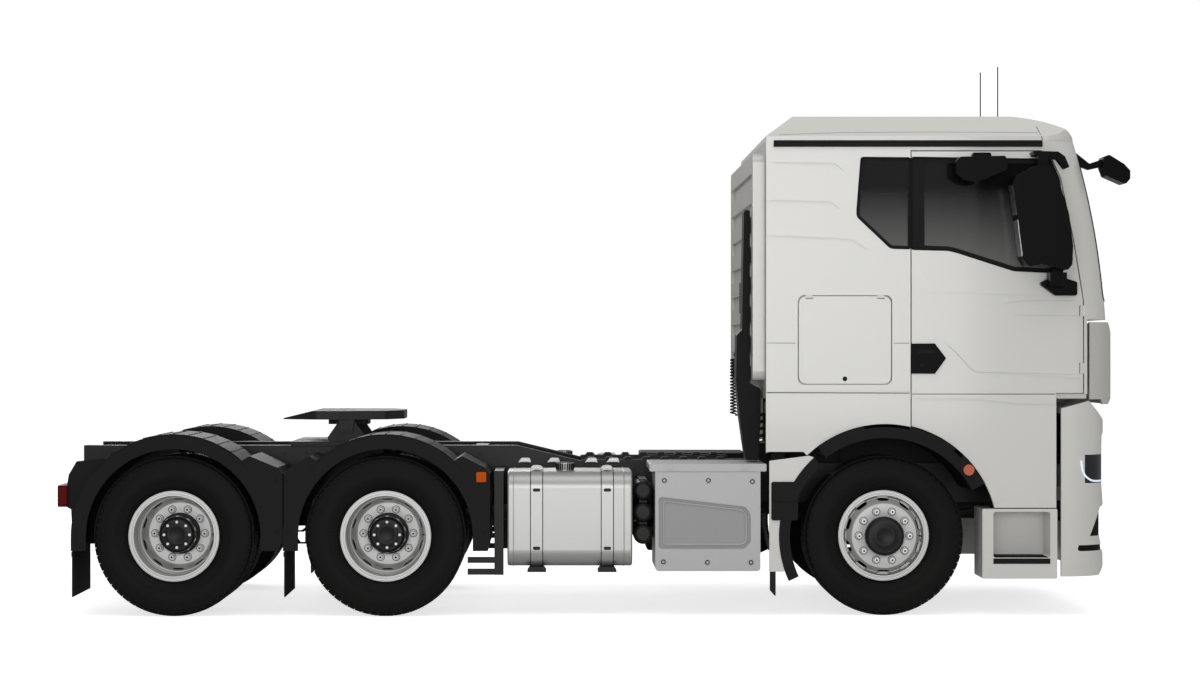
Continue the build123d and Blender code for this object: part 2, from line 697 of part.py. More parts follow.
with BuildPart() as mud_flaps:
    # place of the flap's front face, inner side, outer side, bottom, top
    for place, inner, outer, low, high in (
        (-721, 820, 1215, 137, 296), (-5374 + 12, 600, 1240, flap_bottom, fender_bottom),
        (-3973 + 12, 600, 1240, flap_bottom, fender_bottom),
    ):
        extrude(block(cross_plane(place - 8), (-outer, low), (-inner, high)), amount=8)
    mirror(about=Plane.XZ)
save(mud_flaps.part, "mud_flaps")

# ---------------------------------------------------------------- rear lamps and side markers
with BuildPart() as rear_lamps:
    extrude(block(cross_plane(rail_rear - 25), (-1235, 723), (-900, 867), 20), amount=60)
    extrude(block(cross_plane(rail_rear), (-1045, 760), (-900, 840)), amount=60,
            mode=Mode.SUBTRACT)
    mirror(about=Plane.XZ)
save(rear_lamps.part, "rear_lamps")

with BuildPart() as side_markers:
    extrude(block(side_plane(-fender_out_y), (-2699, 890), (-2634, 956), 8), amount=12)
    mirror(about=Plane.XZ)
save(side_markers.part, "side_markers")

# ---------------------------------------------------------------- front bumper and headlamps
bumper_profile = (
    (bumper_rear, 263), (1433, 266), (1475, 320), (1475, 400), (1440, 512), (1440, 700),
    (1477, 735), (1458, 877), (1458, 1075), (1462, 1190), (1480, 1215), (1487, 1286),
    (1355, 1425), (bumper_rear, 1374),
)
bumper_plan_front = 1487.0
plan_rear = cab_rear - 100     # the plan outlines run back past the cab


def front_end_plan(z, front, half, corner):
    """Plan outline of the front end: square behind, rounded at its two front corners."""
    with BuildSketch(level_plane(z)) as plan:
        with BuildLine():
            Line((plan_rear, -half), (front - corner, -half))
            RadiusArc((front - corner, -half), (front, -half + corner), -corner)
            Line((front, -half + corner), (front, half - corner))
            RadiusArc((front, half - corner), (front - corner, half), -corner)
            Line((front - corner, half), (plan_rear, half))
            Line((plan_rear, half), (plan_rear, -half))
        make_face()
    return plan.sketch


with BuildPart() as bumper_form:
    extrude(outline(side_plane(half_width), bumper_profile), amount=2 * half_width)
    extrude(front_end_plan(0, bumper_plan_front, half_width, cab_corner), amount=2000,
            mode=Mode.INTERSECT)

fog_wedge = ((1362, 528), (1388, 528), (1500, 528), (1500, 720), (1446, 720))
bumper_slot = ((1275, 440), (1282, 470), (1520, 470), (1520, 430), (1290, 430))
pocket_depth = 16.0
pocket_inner_y = 700.0         # the corner pockets end this far from the middle
intake_half = 560.0
lamp_low = 880.0
lamp_high = 1068.0
lamp_inner_y = 760.0
lamp_rear = 1325.0
# room behind the bumper's skin, open to the rear and below
bumper_room_profile = (
    (bumper_rear - 10, 200), (1405, 200), (1405, 700), (1425, 877), (1425, 1200), (1445, 1280),
    (1345, 1388), (bumper_rear - 10, 1338),
)
with BuildPart() as bumper_room:
    extrude(outline(side_plane(half_width), bumper_room_profile), amount=2 * half_width)
    extrude(front_end_plan(0, bumper_plan_front - bumper_wall, half_width - bumper_wall,
                           cab_corner - bumper_wall), amount=2000, mode=Mode.INTERSECT)


def lamp_block(gap):
    """Block round each headlamp, smaller by the gap on every side."""
    with BuildPart() as room:
        for lamp_side in (-1, 1):
            middle = lamp_side * (lamp_inner_y + half_width + 50) / 2
            with Locations((front_axle_x + lamp_rear + 150, middle, (lamp_low + lamp_high) / 2)):
                Box(300 - 2 * gap, half_width + 50 - lamp_inner_y - 2 * gap,
                    lamp_high - lamp_low - 2 * gap)
    return room.part


with BuildPart() as corner_pockets:
    for wedge in (fog_wedge, bumper_slot):
        extrude(outline(side_plane(half_width + 5), wedge), amount=2 * half_width + 10)
    extrude(front_end_plan(0, bumper_plan_front - pocket_depth, half_width - pocket_depth,
                           cab_corner - pocket_depth), amount=2000, mode=Mode.SUBTRACT)
    with Locations((front_axle_x + 1300, 0, 600)):
        Box(900, 2 * pocket_inner_y, 1200, mode=Mode.SUBTRACT)

with BuildPart() as front_bumper:
    add(bumper_form.part)
    add(bumper_room.part, mode=Mode.SUBTRACT)
    # slots for the cab's tilt lugs
    for lug_side in (-1, 1):
        with Locations((front_axle_x + tilt_x + 20, lug_side * (lug_y - 5), tilt_z + 90)):
            Box(220, 190, 170, mode=Mode.SUBTRACT)
    add(lamp_block(0), mode=Mode.SUBTRACT)
    # pockets: fog lamp wedge and slot at each corner, and the air intake in the middle
    add(corner_pockets.part, mode=Mode.SUBTRACT)
    extrude(block(cross_plane(1400), (-intake_half, 540), (intake_half, 690), 30), amount=200,
            mode=Mode.SUBTRACT)
    # brackets to the front ends of the rails
    for rail_side in (-1, 1):
        with Locations((front_axle_x + (rail_front + 1450) / 2 + seat_gap / 2, rail_side * rail_middle, 770)):
            Box(1450 - rail_front - seat_gap, 80, 100)
save(front_bumper.part, "front_bumper")

lamp_depth = 90.0
with BuildPart() as headlamps:
    add(bumper_form.part)
    add(lamp_block(seat_gap), mode=Mode.INTERSECT)
    extrude(front_end_plan(0, bumper_plan_front - lamp_depth, half_width - lamp_depth,
                           cab_corner - lamp_depth), amount=2000, mode=Mode.SUBTRACT)
save(headlamps.part, "headlamps")

# ---------------------------------------------------------------- entry steps
step_rear = 645.0
step_front = 1140.0
step_low = 249.0
step_high = 711.0
step_depth = 340.0
with BuildPart() as entry_steps:
    step_face = -half_width + step_depth
    extrude(block(side_plane(step_face), (step_rear, step_low), (step_front, step_high), 10),
            amount=step_depth)
    extrude(block(side_plane(step_face - 90), (717, 388), (1094, 692), 18), amount=step_depth,
            mode=Mode.SUBTRACT)
    rail_face = rail_middle + rail_width / 2 + seat_gap
    with Locations((front_axle_x + 900, (step_face - rail_face) / 2, 735)):
        Box(120, -step_face - rail_face, 40)
    with Locations((front_axle_x + 900, step_face + 12, 700)):
        Box(120, 24, 110)
    with Locations((front_axle_x + 900, -rail_face - 12, 780)):
        Box(120, 24, 130)
    mirror(about=Plane.XZ)
save(entry_steps.part, "entry_steps")

# ---------------------------------------------------------------- front mudguards (on the chassis)
guard_inner = 628.0
guard_trim = 700.0
with BuildPart() as front_mudguards:
    extrude(arch_sector(side_plane(-600), (0, tyre_radius), guard_inner, guard_inner + 14, 132, 205),
            amount=half_width - 600)
    extrude(arch_sector(side_plane(-half_width + 30), (0, tyre_radius), guard_inner, guard_trim, 132,
                        205), amount=34)
    rail_face = rail_middle + rail_width / 2 + seat_gap
    with Locations((front_axle_x - 620, -(rail_face + 620) / 2, 760)):
        Box(50, 620 - rail_face, 50)
    # cover of the bracket box in front of the panel
    extrude(block(side_plane(-half_width), (-751, 635), (-575, 890), 14), amount=10)
    extrude(block(side_plane(-half_width - 5), (-760, 757), (-560, 762)), amount=10, mode=Mode.SUBTRACT)
    mirror(about=Plane.XZ)
save(front_mudguards.part, "front_mudguards")

with BuildPart() as mudguard_panels:
    panel_points = (
        (-763, 296), (-763, 1028), (-500, 1062), (-440, 1040), (-500, 296),
    )
    extrude(outline(side_plane(-half_width + 28), panel_points), amount=28)
    with BuildSketch(side_plane(-half_width + 60)) as tyre_room:
        with Locations((0, tyre_radius)):
            Circle(guard_trim + seat_gap)
    extrude(tyre_room.sketch, amount=100, mode=Mode.SUBTRACT)
    mirror(about=Plane.XZ)
save(mudguard_panels.part, "mudguard_panels")

# ---------------------------------------------------------------- cab form
quarter_window = ((-157, 3034), (170, 3031), (170, 2430), (38, 2434), (-182, 2642), (-185, 2678))
locker_low = (-576, 1531)
locker_high = (48, 2123)
locker_depth = 40.0
locker_corner = 42.0           # corner radius of the locker's opening
locker_hinge_y = 1212.0
locker_hinge_z = 2108.0
locker_hinge_length = 50.0
locker_hinges = (-500.0, -28.0)    # places along the flap's top edge
flap_hinge_x = 1490.0
flap_hinge_y = 700.0
flap_hinge_z = 1934.0


def cab_side(y, inset=0.0):
    """Side profile of the cab's body below the roof joint."""
    foot_x, foot_z = windscreen_foot
    head_x, head_z = windscreen_head
    with BuildSketch(side_plane(y)) as profile:
        with BuildLine():
            ThreePointArc((foot_x - inset, foot_z - inset), (windscreen_mid[0] - inset, windscreen_mid[1]),
                          (head_x - inset, head_z))
            Polyline((head_x - inset, head_z), (cab_rear + inset, head_z),
                     (cab_rear + inset, cab_floor_low + inset),
                     (cab_front_low - inset, cab_floor_low + inset),
                     (cab_front_low - inset, foot_z - inset), (foot_x - inset, foot_z - inset))
        make_face()
    return profile.sketch


with BuildPart() as cab_form:
    extrude(cab_side(half_width), amount=2 * half_width)
    fillet(cab_form.edges().filter_by(GeomType.CIRCLE), cab_corner)

with BuildPart() as cab_room:
    extrude(cab_side(half_width - cab_wall, cab_wall), amount=2 * (half_width - cab_wall))
    fillet(cab_room.edges().filter_by(GeomType.CIRCLE), cab_corner - cab_wall)

door_upper = (
    (door_rear, 1470), (door_rear, 3081), (1035, 3081), (1100, 3040), (1166, 2900), (1250, 2500),
    (door_front, 2090), (door_front, 1470),
)
door_window = ((176, 3034), (1094, 3021), (1153, 2889), (1216, 2375), (1104, 2274), (853, 2286),
               (473, 2408), (420, 2421), (176, 2427))
press_depth = 7.0              # depth of the pressed grooves
crease_depth = 3.0
crease_width = 8.0
flare_radius = 800.0           # outer radius of the raised lip round the wheel arch
flare_rise = 5.0
side_grooves = (
    ((-735, 2948), (-735, 3002), (-330, 2996), (-266, 2940)),
    ((-768, 2697), (-768, 2751), (-356, 2742), (-292, 2688)),
    ((-768, 2462), (-768, 2520), (-215, 2494), (-108, 2418), (-300, 2440)),
)
rear_ribs = (1700.0, 1900.0, 2100.0, 2300.0, 2500.0, 2700.0, 2900.0)
rib_depth = 22.0
rib_reach = 1000.0
rib_height = 90.0
windscreen_points = ((-1085, 2080), (1085, 2080), (1040, 3070), (-1040, 3070))

with BuildPart() as cab_shell:
    add(cab_form.part)
    add(cab_room.part, mode=Mode.SUBTRACT)
    # windscreen, doors, quarter windows and lockers
    extrude(outline(cross_plane(1150), windscreen_points, radius=70), amount=500,
            mode=Mode.SUBTRACT)
    for wall_y in (half_width + 5, -half_width + cab_wall + 5):
        depth = cab_wall + 10
        extrude(outline(side_plane(wall_y), door_upper), amount=depth, mode=Mode.SUBTRACT)
        extrude(outline(side_plane(wall_y), quarter_window, radius=18), amount=depth,
                mode=Mode.SUBTRACT)
    for wall_y in (half_width + 5, -half_width + locker_depth + 8):
        extrude(block(side_plane(wall_y), locker_low, locker_high, locker_corner),
                amount=locker_depth + 13, mode=Mode.SUBTRACT)
    # side skirt below the floor, behind the door
    for skirt_y in (half_width, -half_width + skirt_wall):
        skirt_points = (
            (cab_rear, skirt_bottom), (cab_rear, cab_floor_low + 20), (door_rear, cab_floor_low + 20),
            (door_rear, skirt_bottom),
        )
        extrude(outline(side_plane(skirt_y), skirt_points), amount=skirt_wall)
    with BuildSketch(side_plane(half_width + 10)) as arch_room:
        with Locations((0, tyre_radius)):
            Circle(arch_trim_radius + seat_gap)
    extrude(arch_room.sketch, amount=2 * half_width + 20, mode=Mode.SUBTRACT)
    # sill under the doors stands back behind the door's lower skin
    for sill_y in (half_width + 5, -half_width + 45):
        extrude(block(side_plane(sill_y), (door_rear, skirt_bottom), (1400, 1470)), amount=50,
                mode=Mode.SUBTRACT)
    # bulged rear wall
    extrude(block(cross_plane(cab_rear - 80), (-1110, 1560), (1110, 3070), 60), amount=90)
    # tilt lugs under the floor
    for lug_side in (-1, 1):
        lug_points = (
            (tilt_x - 60, cab_floor_low + 5), (tilt_x - 40, tilt_z - 30), (tilt_x + 20, tilt_z - 40),
            (tilt_x + 40, tilt_z), (tilt_x + 15, cab_floor_low + 5),
        )
        face = lug_side * lug_y + lug_thickness / 2
        extrude(outline(side_plane(face), lug_points, radius=10), amount=lug_thickness)
    with Locations((front_axle_x + tilt_x, 0, tilt_z)):
        Cylinder(tilt_pin_radius + running_gap, 2 * lug_y + 200, rotation=(90, 0, 0),
                 mode=Mode.SUBTRACT)
    # front flap's hinges on the front wall
    for hinge_y in (-flap_hinge_y, flap_hinge_y):
        with Locations((front_axle_x + flap_hinge_x, hinge_y, flap_hinge_z)):
            Cylinder(flap_front - flap_wall - flap_hinge_x - running_gap, hinge_height,
                     rotation=(90, 0, 0))
        arm_length = flap_hinge_x - cab_front_low + 10
        with Locations((front_axle_x + flap_hinge_x - arm_length / 2, hinge_y, flap_hinge_z - 1)):
            Box(arm_length, hinge_height, 14)
    # locker hinges at the top of each recess
    for locker_side in (-1, 1):
        for hinge_x in locker_hinges:
            with Locations((front_axle_x + hinge_x, locker_side * locker_hinge_y, locker_hinge_z)):
                Cylinder(6, locker_hinge_length, rotation=(0, 90, 0))
            with Locations((front_axle_x + hinge_x, locker_side * (locker_hinge_y - 1),
                            locker_hinge_z + 9)):
                Box(locker_hinge_length, 10, 18)
    # door hinge barrels on the front pillars
    for hinge_side in (-1, 1):
        for hinge_z in (1640, 2020):
            with Locations((front_axle_x + door_hinge_x, hinge_side * door_hinge_y, hinge_z)):
                Cylinder(hinge_barrel, hinge_height)
            with Locations((front_axle_x + door_hinge_x + 14, hinge_side * (door_hinge_y - 3), hinge_z)):
                Box(28, 12, hinge_height)
    # pressed grooves in the side walls, creases, and the flare round the wheel arch
    for wall_y, wall_turn in ((-half_width, 1), (half_width, -1)):
        inside = side_plane(wall_y + wall_turn * press_depth)
        for groove in side_grooves:
            extrude(outline(inside, groove, radius=6), amount=wall_turn * (press_depth + 5),
                    mode=Mode.SUBTRACT)
        for line in ([(cab_rear - 5, 1807), (door_rear, 1807)],
                     [(cab_rear - 5, 1486), (door_rear, 1486)]):
            extrude(crease(side_plane(wall_y + wall_turn * crease_depth), line, crease_width),
                    amount=wall_turn * (crease_depth + 5), mode=Mode.SUBTRACT)
        extrude(arch_sector(side_plane(wall_y), (0, tyre_radius), arch_trim_radius + seat_gap,
                            flare_radius, 80, 134), amount=wall_turn * flare_rise)
    # pressed ribs across the rear wall
    for rib_z in rear_ribs:
        with Locations((front_axle_x + cab_rear - 80, 0, rib_z)):
            Box(2 * rib_depth, 2 * rib_reach, rib_height, mode=Mode.SUBTRACT)
save(cab_shell.part, "cab_shell")

# ---------------------------------------------------------------- roof
roof_profile = (
    (cab_rear + 4, cab_gutter), (cab_rear + 4, 3180), (-570, 3340), (361, 3352), (700, 3337),
    (861, 3322), (980, 3303), (1069, 3282), (1140, 3258), (1195, 3234), (1236, 3208), (1266, 3180),
    (1286, cab_gutter),
)
roof_front_view = (
    (-half_width + 4, cab_gutter - 20), (half_width - 4, cab_gutter - 20), (half_width - 4, 3175),
    (1040, 3320), (0, 3362), (-1040, 3320), (-half_width + 4, 3175),
)
roof_wall = 45.0
with BuildPart() as roof_room:
    extrude(outline(side_plane(half_width - cab_wall), roof_profile, grow=-roof_wall),
            amount=2 * (half_width - cab_wall))
    extrude(outline(cross_plane(cab_rear - 50), roof_front_view, grow=-roof_wall), amount=2400,
            mode=Mode.INTERSECT)
    extrude(block(level_plane(cab_gutter - 30), (cab_rear + roof_wall, -half_width + cab_wall),
                  (1000, half_width - cab_wall)), amount=80)

with BuildPart() as cab_roof:
    extrude(outline(side_plane(half_width), roof_profile), amount=2 * half_width)
    extrude(outline(cross_plane(cab_rear - 50), roof_front_view), amount=2400, mode=Mode.INTERSECT)
    extrude(front_end_plan(3000, 1286, half_width, cab_corner), amount=600, mode=Mode.INTERSECT)
    add(roof_room.part, mode=Mode.SUBTRACT)
save(cab_roof.part, "cab_roof")

# ---------------------------------------------------------------- cab glass
glass_inset = 3.0              # glass lies this far inside its opening
with BuildPart() as cab_glass:
    add(cab_form.part)
    extrude(outline(cross_plane(1150), windscreen_points, radius=70, grow=-glass_inset), amount=500,
            mode=Mode.INTERSECT)
    add(cab_form.part.moved(Location((-glass_thickness - 8, 0, 0))), mode=Mode.SUBTRACT)
    for glass_y in (half_width - 10, -half_width + 10 + glass_thickness):
        extrude(outline(side_plane(glass_y), quarter_window, radius=18, grow=-seat_gap),
                amount=glass_thickness)
save(cab_glass.part, "cab_glass")

# ---------------------------------------------------------------- doors
mirror_inner_y = 1310.0        # inner side of the mirror's housing
mirror_depth = 200.0
mirror_housing = (
    (795, 2850), (820, 2900), (897, 2935), (940, 2958), (1043, 2958), (1090, 2880), (1162, 2644),
    (1188, 2439), (1183, 2319), (1154, 2280), (983, 2319), (897, 2303), (863, 2353), (829, 2626),
)
mirror_arm = (
    (980, 2930), (985, 3058), (1114, 3062), (1160, 3030), (1190, 2960), (1156, 2945), (1105, 3012),
    (1050, 3012), (1050, 2930),
)
kerb_mirror = (
    (438, 2989), (469, 3024), (761, 3030), (778, 2989), (770, 2938), (658, 2890), (572, 2856),
    (495, 2872), (443, 2912),
)
door_skirt_low = 718.0
door_skirt_front = 1133.0
skirt_inner = 1182.0
door_creases = (
    [(394, 1812), (599, 1616), (door_front - 12, 1566)],
    [(door_rear + 10, 2143), (door_front - 60, 2110)],
)
sill_moulding = ((180, 1442), (180, 1466), (1130, 1466), (1130, 1404), (850, 1408), (640, 1436))
handle_points = ((176, 1604), (176, 1804), (330, 1804), (404, 1707), (330, 1604))

for hand, is_left in HANDS:
    with BuildPart() as door:
        add(cab_form.part)
        extrude(outline(side_plane(-half_width + door_thickness), door_upper, grow=-shut_gap),
                amount=door_thickness + 10, mode=Mode.INTERSECT)
        extrude(outline(side_plane(-half_width + door_thickness + 5), door_window, radius=20),
                amount=door_thickness + 10, mode=Mode.SUBTRACT)
        # lower skin outside the sill, cut back round the wheel arch
        extrude(block(side_plane(-skirt_inner), (door_rear + shut_gap, door_skirt_low),
                      (door_skirt_front, 1480)), amount=half_width - skirt_inner)
        with BuildSketch(side_plane(-skirt_inner + 10)) as arch_room:
            with Locations((0, tyre_radius)):
                Circle(arch_trim_radius + shut_gap)
        extrude(arch_room.sketch, amount=80, mode=Mode.SUBTRACT)
        # notches for the two hinge barrels, and the handle's recess
        for hinge_z in (1640, 2020):
            with Locations((front_axle_x + door_hinge_x + 3, -half_width + 20, hinge_z)):
                Box(34, 100, hinge_height + 2 * seat_gap, mode=Mode.SUBTRACT)
        extrude(outline(side_plane(-half_width + 14), handle_points), amount=20, mode=Mode.SUBTRACT)
        for line in door_creases:
            extrude(crease(side_plane(-half_width + crease_depth), line, crease_width),
                    amount=crease_depth + 5, mode=Mode.SUBTRACT)
        # moulding over the lower skin, and the flare round the arch
        extrude(outline(side_plane(-half_width + 2), sill_moulding, radius=6), amount=8)
        extrude(arch_sector(side_plane(-half_width), (0, tyre_radius), arch_trim_radius + shut_gap,
                            flare_radius, 17, 75), amount=flare_rise)
    save(handed(door.part, is_left), f"door_{hand}")

    with BuildPart() as door_glass:
        extrude(outline(side_plane(-half_width + 18), door_window, radius=20, grow=-seat_gap),
                amount=glass_thickness)
    save(handed(door_glass.part, is_left), f"door_glass_{hand}")

    # handle, the mirror's foot, arms and housings, and the kerb mirror above the window
    with BuildPart() as door_fittings:
        extrude(outline(side_plane(-half_width + 8),
                        ((1010, 2200), (1120, 2255), (1262, 2210), (1262, 2120), (1120, 2120)),
                        radius=15), amount=60)
        with Locations((front_axle_x + 1120, -half_width - 90, 2225)):
            Box(110, 120, 90)
        extrude(outline(side_plane(-mirror_inner_y), mirror_housing, radius=22), amount=mirror_depth)
        with Locations((front_axle_x + 1115, -half_width - 120, 2285)):
            Box(70, 60, 90)
        # upper arm from the window frame's top, bent down into the housing
        extrude(outline(side_plane(-half_width + 4), ((950, 3067), (967, 3036), (1105, 3019),
                                                      (1114, 3062)), radius=8), amount=150)
        extrude(outline(side_plane(-half_width - 100), mirror_arm, radius=10), amount=60)
        if not is_left:
            extrude(outline(side_plane(-half_width - 30), kerb_mirror, radius=16), amount=180)
            extrude(outline(side_plane(-half_width + 6), ((560, 2990), (575, 3062), (690, 3062),
                                                          (705, 2990)), radius=10), amount=70)
        add(cab_form.part, mode=Mode.SUBTRACT)
        extrude(outline(side_plane(-half_width + 14), handle_points, grow=-seat_gap), amount=24)
    save(handed(door_fittings.part, is_left), f"door_fittings_{hand}")

# ---------------------------------------------------------------- locker flaps
for hand, is_left in HANDS:
    with BuildPart() as locker_flap:
        extrude(block(side_plane(-half_width + locker_depth),
                      (locker_low[0] + shut_gap, locker_low[1] + shut_gap),
                      (locker_high[0] - shut_gap, locker_high[1] - shut_gap), locker_corner + 10),
                amount=locker_depth)
        for hinge_x in locker_hinges:
            with Locations((front_axle_x + hinge_x, -locker_hinge_y, locker_hinge_z + 6)):
                Box(locker_hinge_length + 2 * seat_gap, 34, 36, mode=Mode.SUBTRACT)
    save(handed(locker_flap.part, is_left), f"locker_flap_{hand}")

# ---------------------------------------------------------------- front flap
flap_slots = (1520.0, 1610.0, 1700.0, 1790.0)
slot_half = 820.0
slot_depth = 20.0
flap_low = 1401.0
flap_top = 1946.0
flap_rear = 1356.0
flap_notch = 1435.0
flap_profile = (
    (flap_rear, flap_notch), (1440, flap_notch), (1452, flap_low), (1500, flap_low), (1530, 1440),
    (flap_front, 1700), (1535, 1870), (1500, flap_top), (flap_rear, flap_top),
)
with BuildPart() as front_flap:
    extrude(outline(side_plane(half_width), flap_profile), amount=2 * half_width)
    extrude(front_end_plan(1300, flap_front, half_width - 6, cab_corner), amount=800,
            mode=Mode.INTERSECT)
    extrude(front_end_plan(1300, flap_front - flap_wall, half_width - 6 - flap_wall,
                           cab_corner - flap_wall), amount=800, mode=Mode.SUBTRACT)
    for slot_z in flap_slots:
        extrude(block(cross_plane(flap_front - slot_depth), (-slot_half, slot_z - 22),
                      (slot_half, slot_z + 22), 14), amount=40, mode=Mode.SUBTRACT)
save(front_flap.part, "front_flap")

# ---------------------------------------------------------------- wheel arches and cab trim
trim_steps = ((77, 101), (46, 51))     # angles where the trim's outer edge steps in
trim_step_radius = 722.0
with BuildPart() as wheel_arches:
    extrude(arch_sector(side_plane(-half_width + 30), (0, tyre_radius), arch_radius,
                        arch_trim_radius, 28, 127), amount=52)
    for start, end in trim_steps:
        extrude(arch_sector(side_plane(-half_width + 35), (0, tyre_radius), trim_step_radius,
                            arch_trim_radius + 20, start, end), amount=70, mode=Mode.SUBTRACT)
    extrude(arch_sector(side_plane(-640), (0, tyre_radius), arch_radius, arch_radius + 12, 28, 127),
            amount=half_width - 640)
    for post_x in (-200, 200):
        with Locations((front_axle_x + post_x, -900, (cab_floor_low - seat_gap + 1150) / 2)):
            Box(60, 60, cab_floor_low - seat_gap - 1150)
    mirror(about=Plane.XZ)
save(wheel_arches.part, "wheel_arches")

arch_lamp = (551.0, 969.0)
with BuildPart() as arch_lamps:
    with BuildSketch(side_plane(-half_width - 22)) as lamp_disc:
        with Locations(arch_lamp):
            Circle(36)
    extrude(lamp_disc.sketch, amount=12)
    mirror(about=Plane.XZ)
save(arch_lamps.part, "arch_lamps")

with BuildPart() as cab_trim:
    for strip_y in (half_width + 12, -half_width):
        extrude(block(side_plane(strip_y), (-735, 3104), (1040, cab_gutter)), amount=12)
save(cab_trim.part, "cab_trim")

# ---------------------------------------------------------------- ramp mirror and antennas
ramp_mirror_y = 960.0
ramp_mirror_head = (
    (1478, 2985), (1482, 3050), (1520, 3066), (1620, 3004), (1661, 2960), (1661, 2905), (1630, 2868),
    (1500, 2925),
)
with BuildPart() as ramp_mirror:
    arm_points = (
        (1190, 2985), (1190, 3130), (1290, 3098), (1400, 3010), (1490, 3040), (1490, 2990),
        (1395, 2968), (1310, 3000),
    )
    extrude(outline(side_plane(-ramp_mirror_y + 22), arm_points, radius=12), amount=45)
    extrude(outline(side_plane(-ramp_mirror_y + 80), ramp_mirror_head, radius=20), amount=165)
    add(cab_form.part, mode=Mode.SUBTRACT)
    add(cab_roof.part, mode=Mode.SUBTRACT)
save(ramp_mirror.part, "ramp_mirror")

# place of each rod, its height above the roof
antenna_rods = ((760.0, 420.0, 330.0), (880.0, 420.0, 370.0))
with BuildPart() as antennas:
    for rod_x, rod_y, rod_height in antenna_rods:
        with Locations((front_axle_x + rod_x, -rod_y, 3300)):
            Cone(24, 12, 60, align=(Align.CENTER, Align.CENTER, Align.MIN))
            Cylinder(4, rod_height + 50, align=(Align.CENTER, Align.CENTER, Align.MIN))
    add(cab_roof.part, mode=Mode.SUBTRACT)
save(antennas.part, "antennas")

# ---------------------------------------------------------------- air intake behind the cab
with BuildPart() as air_intake:
    intake_points = (
        (-800, 1500), (-872, 1540), (-872, 2700), (-912, 2700), (-925, 1900), (-960, 1860),
        (-965, 1560), (-940, 1300), (-900, 1020), (-815, 1020), (-800, 1300),
    )
    extrude(outline(side_plane(-760), intake_points, radius=12), amount=190)
    add(cab_shell.part, mode=Mode.SUBTRACT)
save(air_intake.part, "air_intake")

# ---------------------------------------------------------------- inside the cab
seat_y = 620.0
seat_x = 330.0
with BuildPart() as dashboard:
    dash_points = (
        (1276, 1900), (1276, 2120), (1380, 2170), (1150, 2200), (900, 2160), (880, 2040),
        (960, 1960), (1000, 1900),
    )
    extrude(outline(side_plane(half_width - cab_wall - 6), dash_points, radius=20),
            amount=2 * (half_width - cab_wall - 6))
    extrude(front_end_plan(1800, 1430, half_width - cab_wall - 6, cab_corner), amount=500,
            mode=Mode.INTERSECT)
    # instrument hood and the panel down to the floor
    with Locations((front_axle_x + 960, seat_y, 2190)):
        Box(180, 480, 90)
    with Locations((front_axle_x + 1180, 0, (cab_floor_top + 1960) / 2 + seat_gap)):
        Box(160, 700, 1960 - cab_floor_top - 2 * seat_gap)
save(dashboard.part, "dashboard")

column_tilt = 32.0
wheel_x = 800.0
wheel_z = 2190.0
with BuildPart() as steering_wheel:
    rim_plane = Plane(origin=(front_axle_x + wheel_x, seat_y, wheel_z),
                      z_dir=(-sin(radians(90 - column_tilt)), 0, cos(radians(90 - column_tilt))))
    with Locations(rim_plane):
        Torus(225, 17)
        Cylinder(60, 40)
        for turn in (0, 120, 240):
            with Locations(Location((0, 0, 0), (0, 0, turn + 90))):
                Box(220, 40, 16, align=(Align.MIN, Align.CENTER, Align.CENTER))
        Cylinder(40, 170, align=(Align.CENTER, Align.CENTER, Align.MAX))
    add(dashboard.part, mode=Mode.SUBTRACT)
save(steering_wheel.part, "steering_wheel")

with BuildPart() as seats:
    for seat_side in (-1, 1):
        with Locations((front_axle_x + seat_x, seat_side * seat_y, cab_floor_top + seat_gap + 180)):
            Box(380, 360, 360)
        with Locations((front_axle_x + seat_x + 10, seat_side * seat_y, cab_floor_top + 420)):
            Box(520, 520, 150)
    back_points = (
        (seat_x - 190, cab_floor_top + 450), (seat_x - 330, cab_floor_top + 1060),
        (seat_x - 210, cab_floor_top + 1090), (seat_x - 60, cab_floor_top + 470),
    )
    head_points = (
        (seat_x - 335, cab_floor_top + 1070), (seat_x - 360, cab_floor_top + 1260),
        (seat_x - 260, cab_floor_top + 1280), (seat_x - 230, cab_floor_top + 1080),
    )
    for seat_side in (-1, 1):
        extrude(outline(side_plane(seat_side * seat_y + 250), back_points, radius=30), amount=500)
        extrude(outline(side_plane(seat_side * seat_y + 140), head_points, radius=30), amount=280)
save(seats.part, "seats")

with BuildPart() as bunk:
    bunk_face = cab_rear + cab_wall + seat_gap
    extrude(block(side_plane(half_width - cab_wall - 8), (bunk_face, 1880), (bunk_face + 660, 2010), 40),
            amount=2 * (half_width - cab_wall - 8))
    extrude(block(side_plane(half_width - cab_wall - 8), (bunk_face, cab_floor_top + seat_gap),
                  (bunk_face + 600, 1881)), amount=2 * (half_width - cab_wall - 8))
save(bunk.part, "bunk")
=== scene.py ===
import math

import bmesh
import bpy
from mathutils import Matrix, Vector
from mathutils.bvhtree import BVHTree


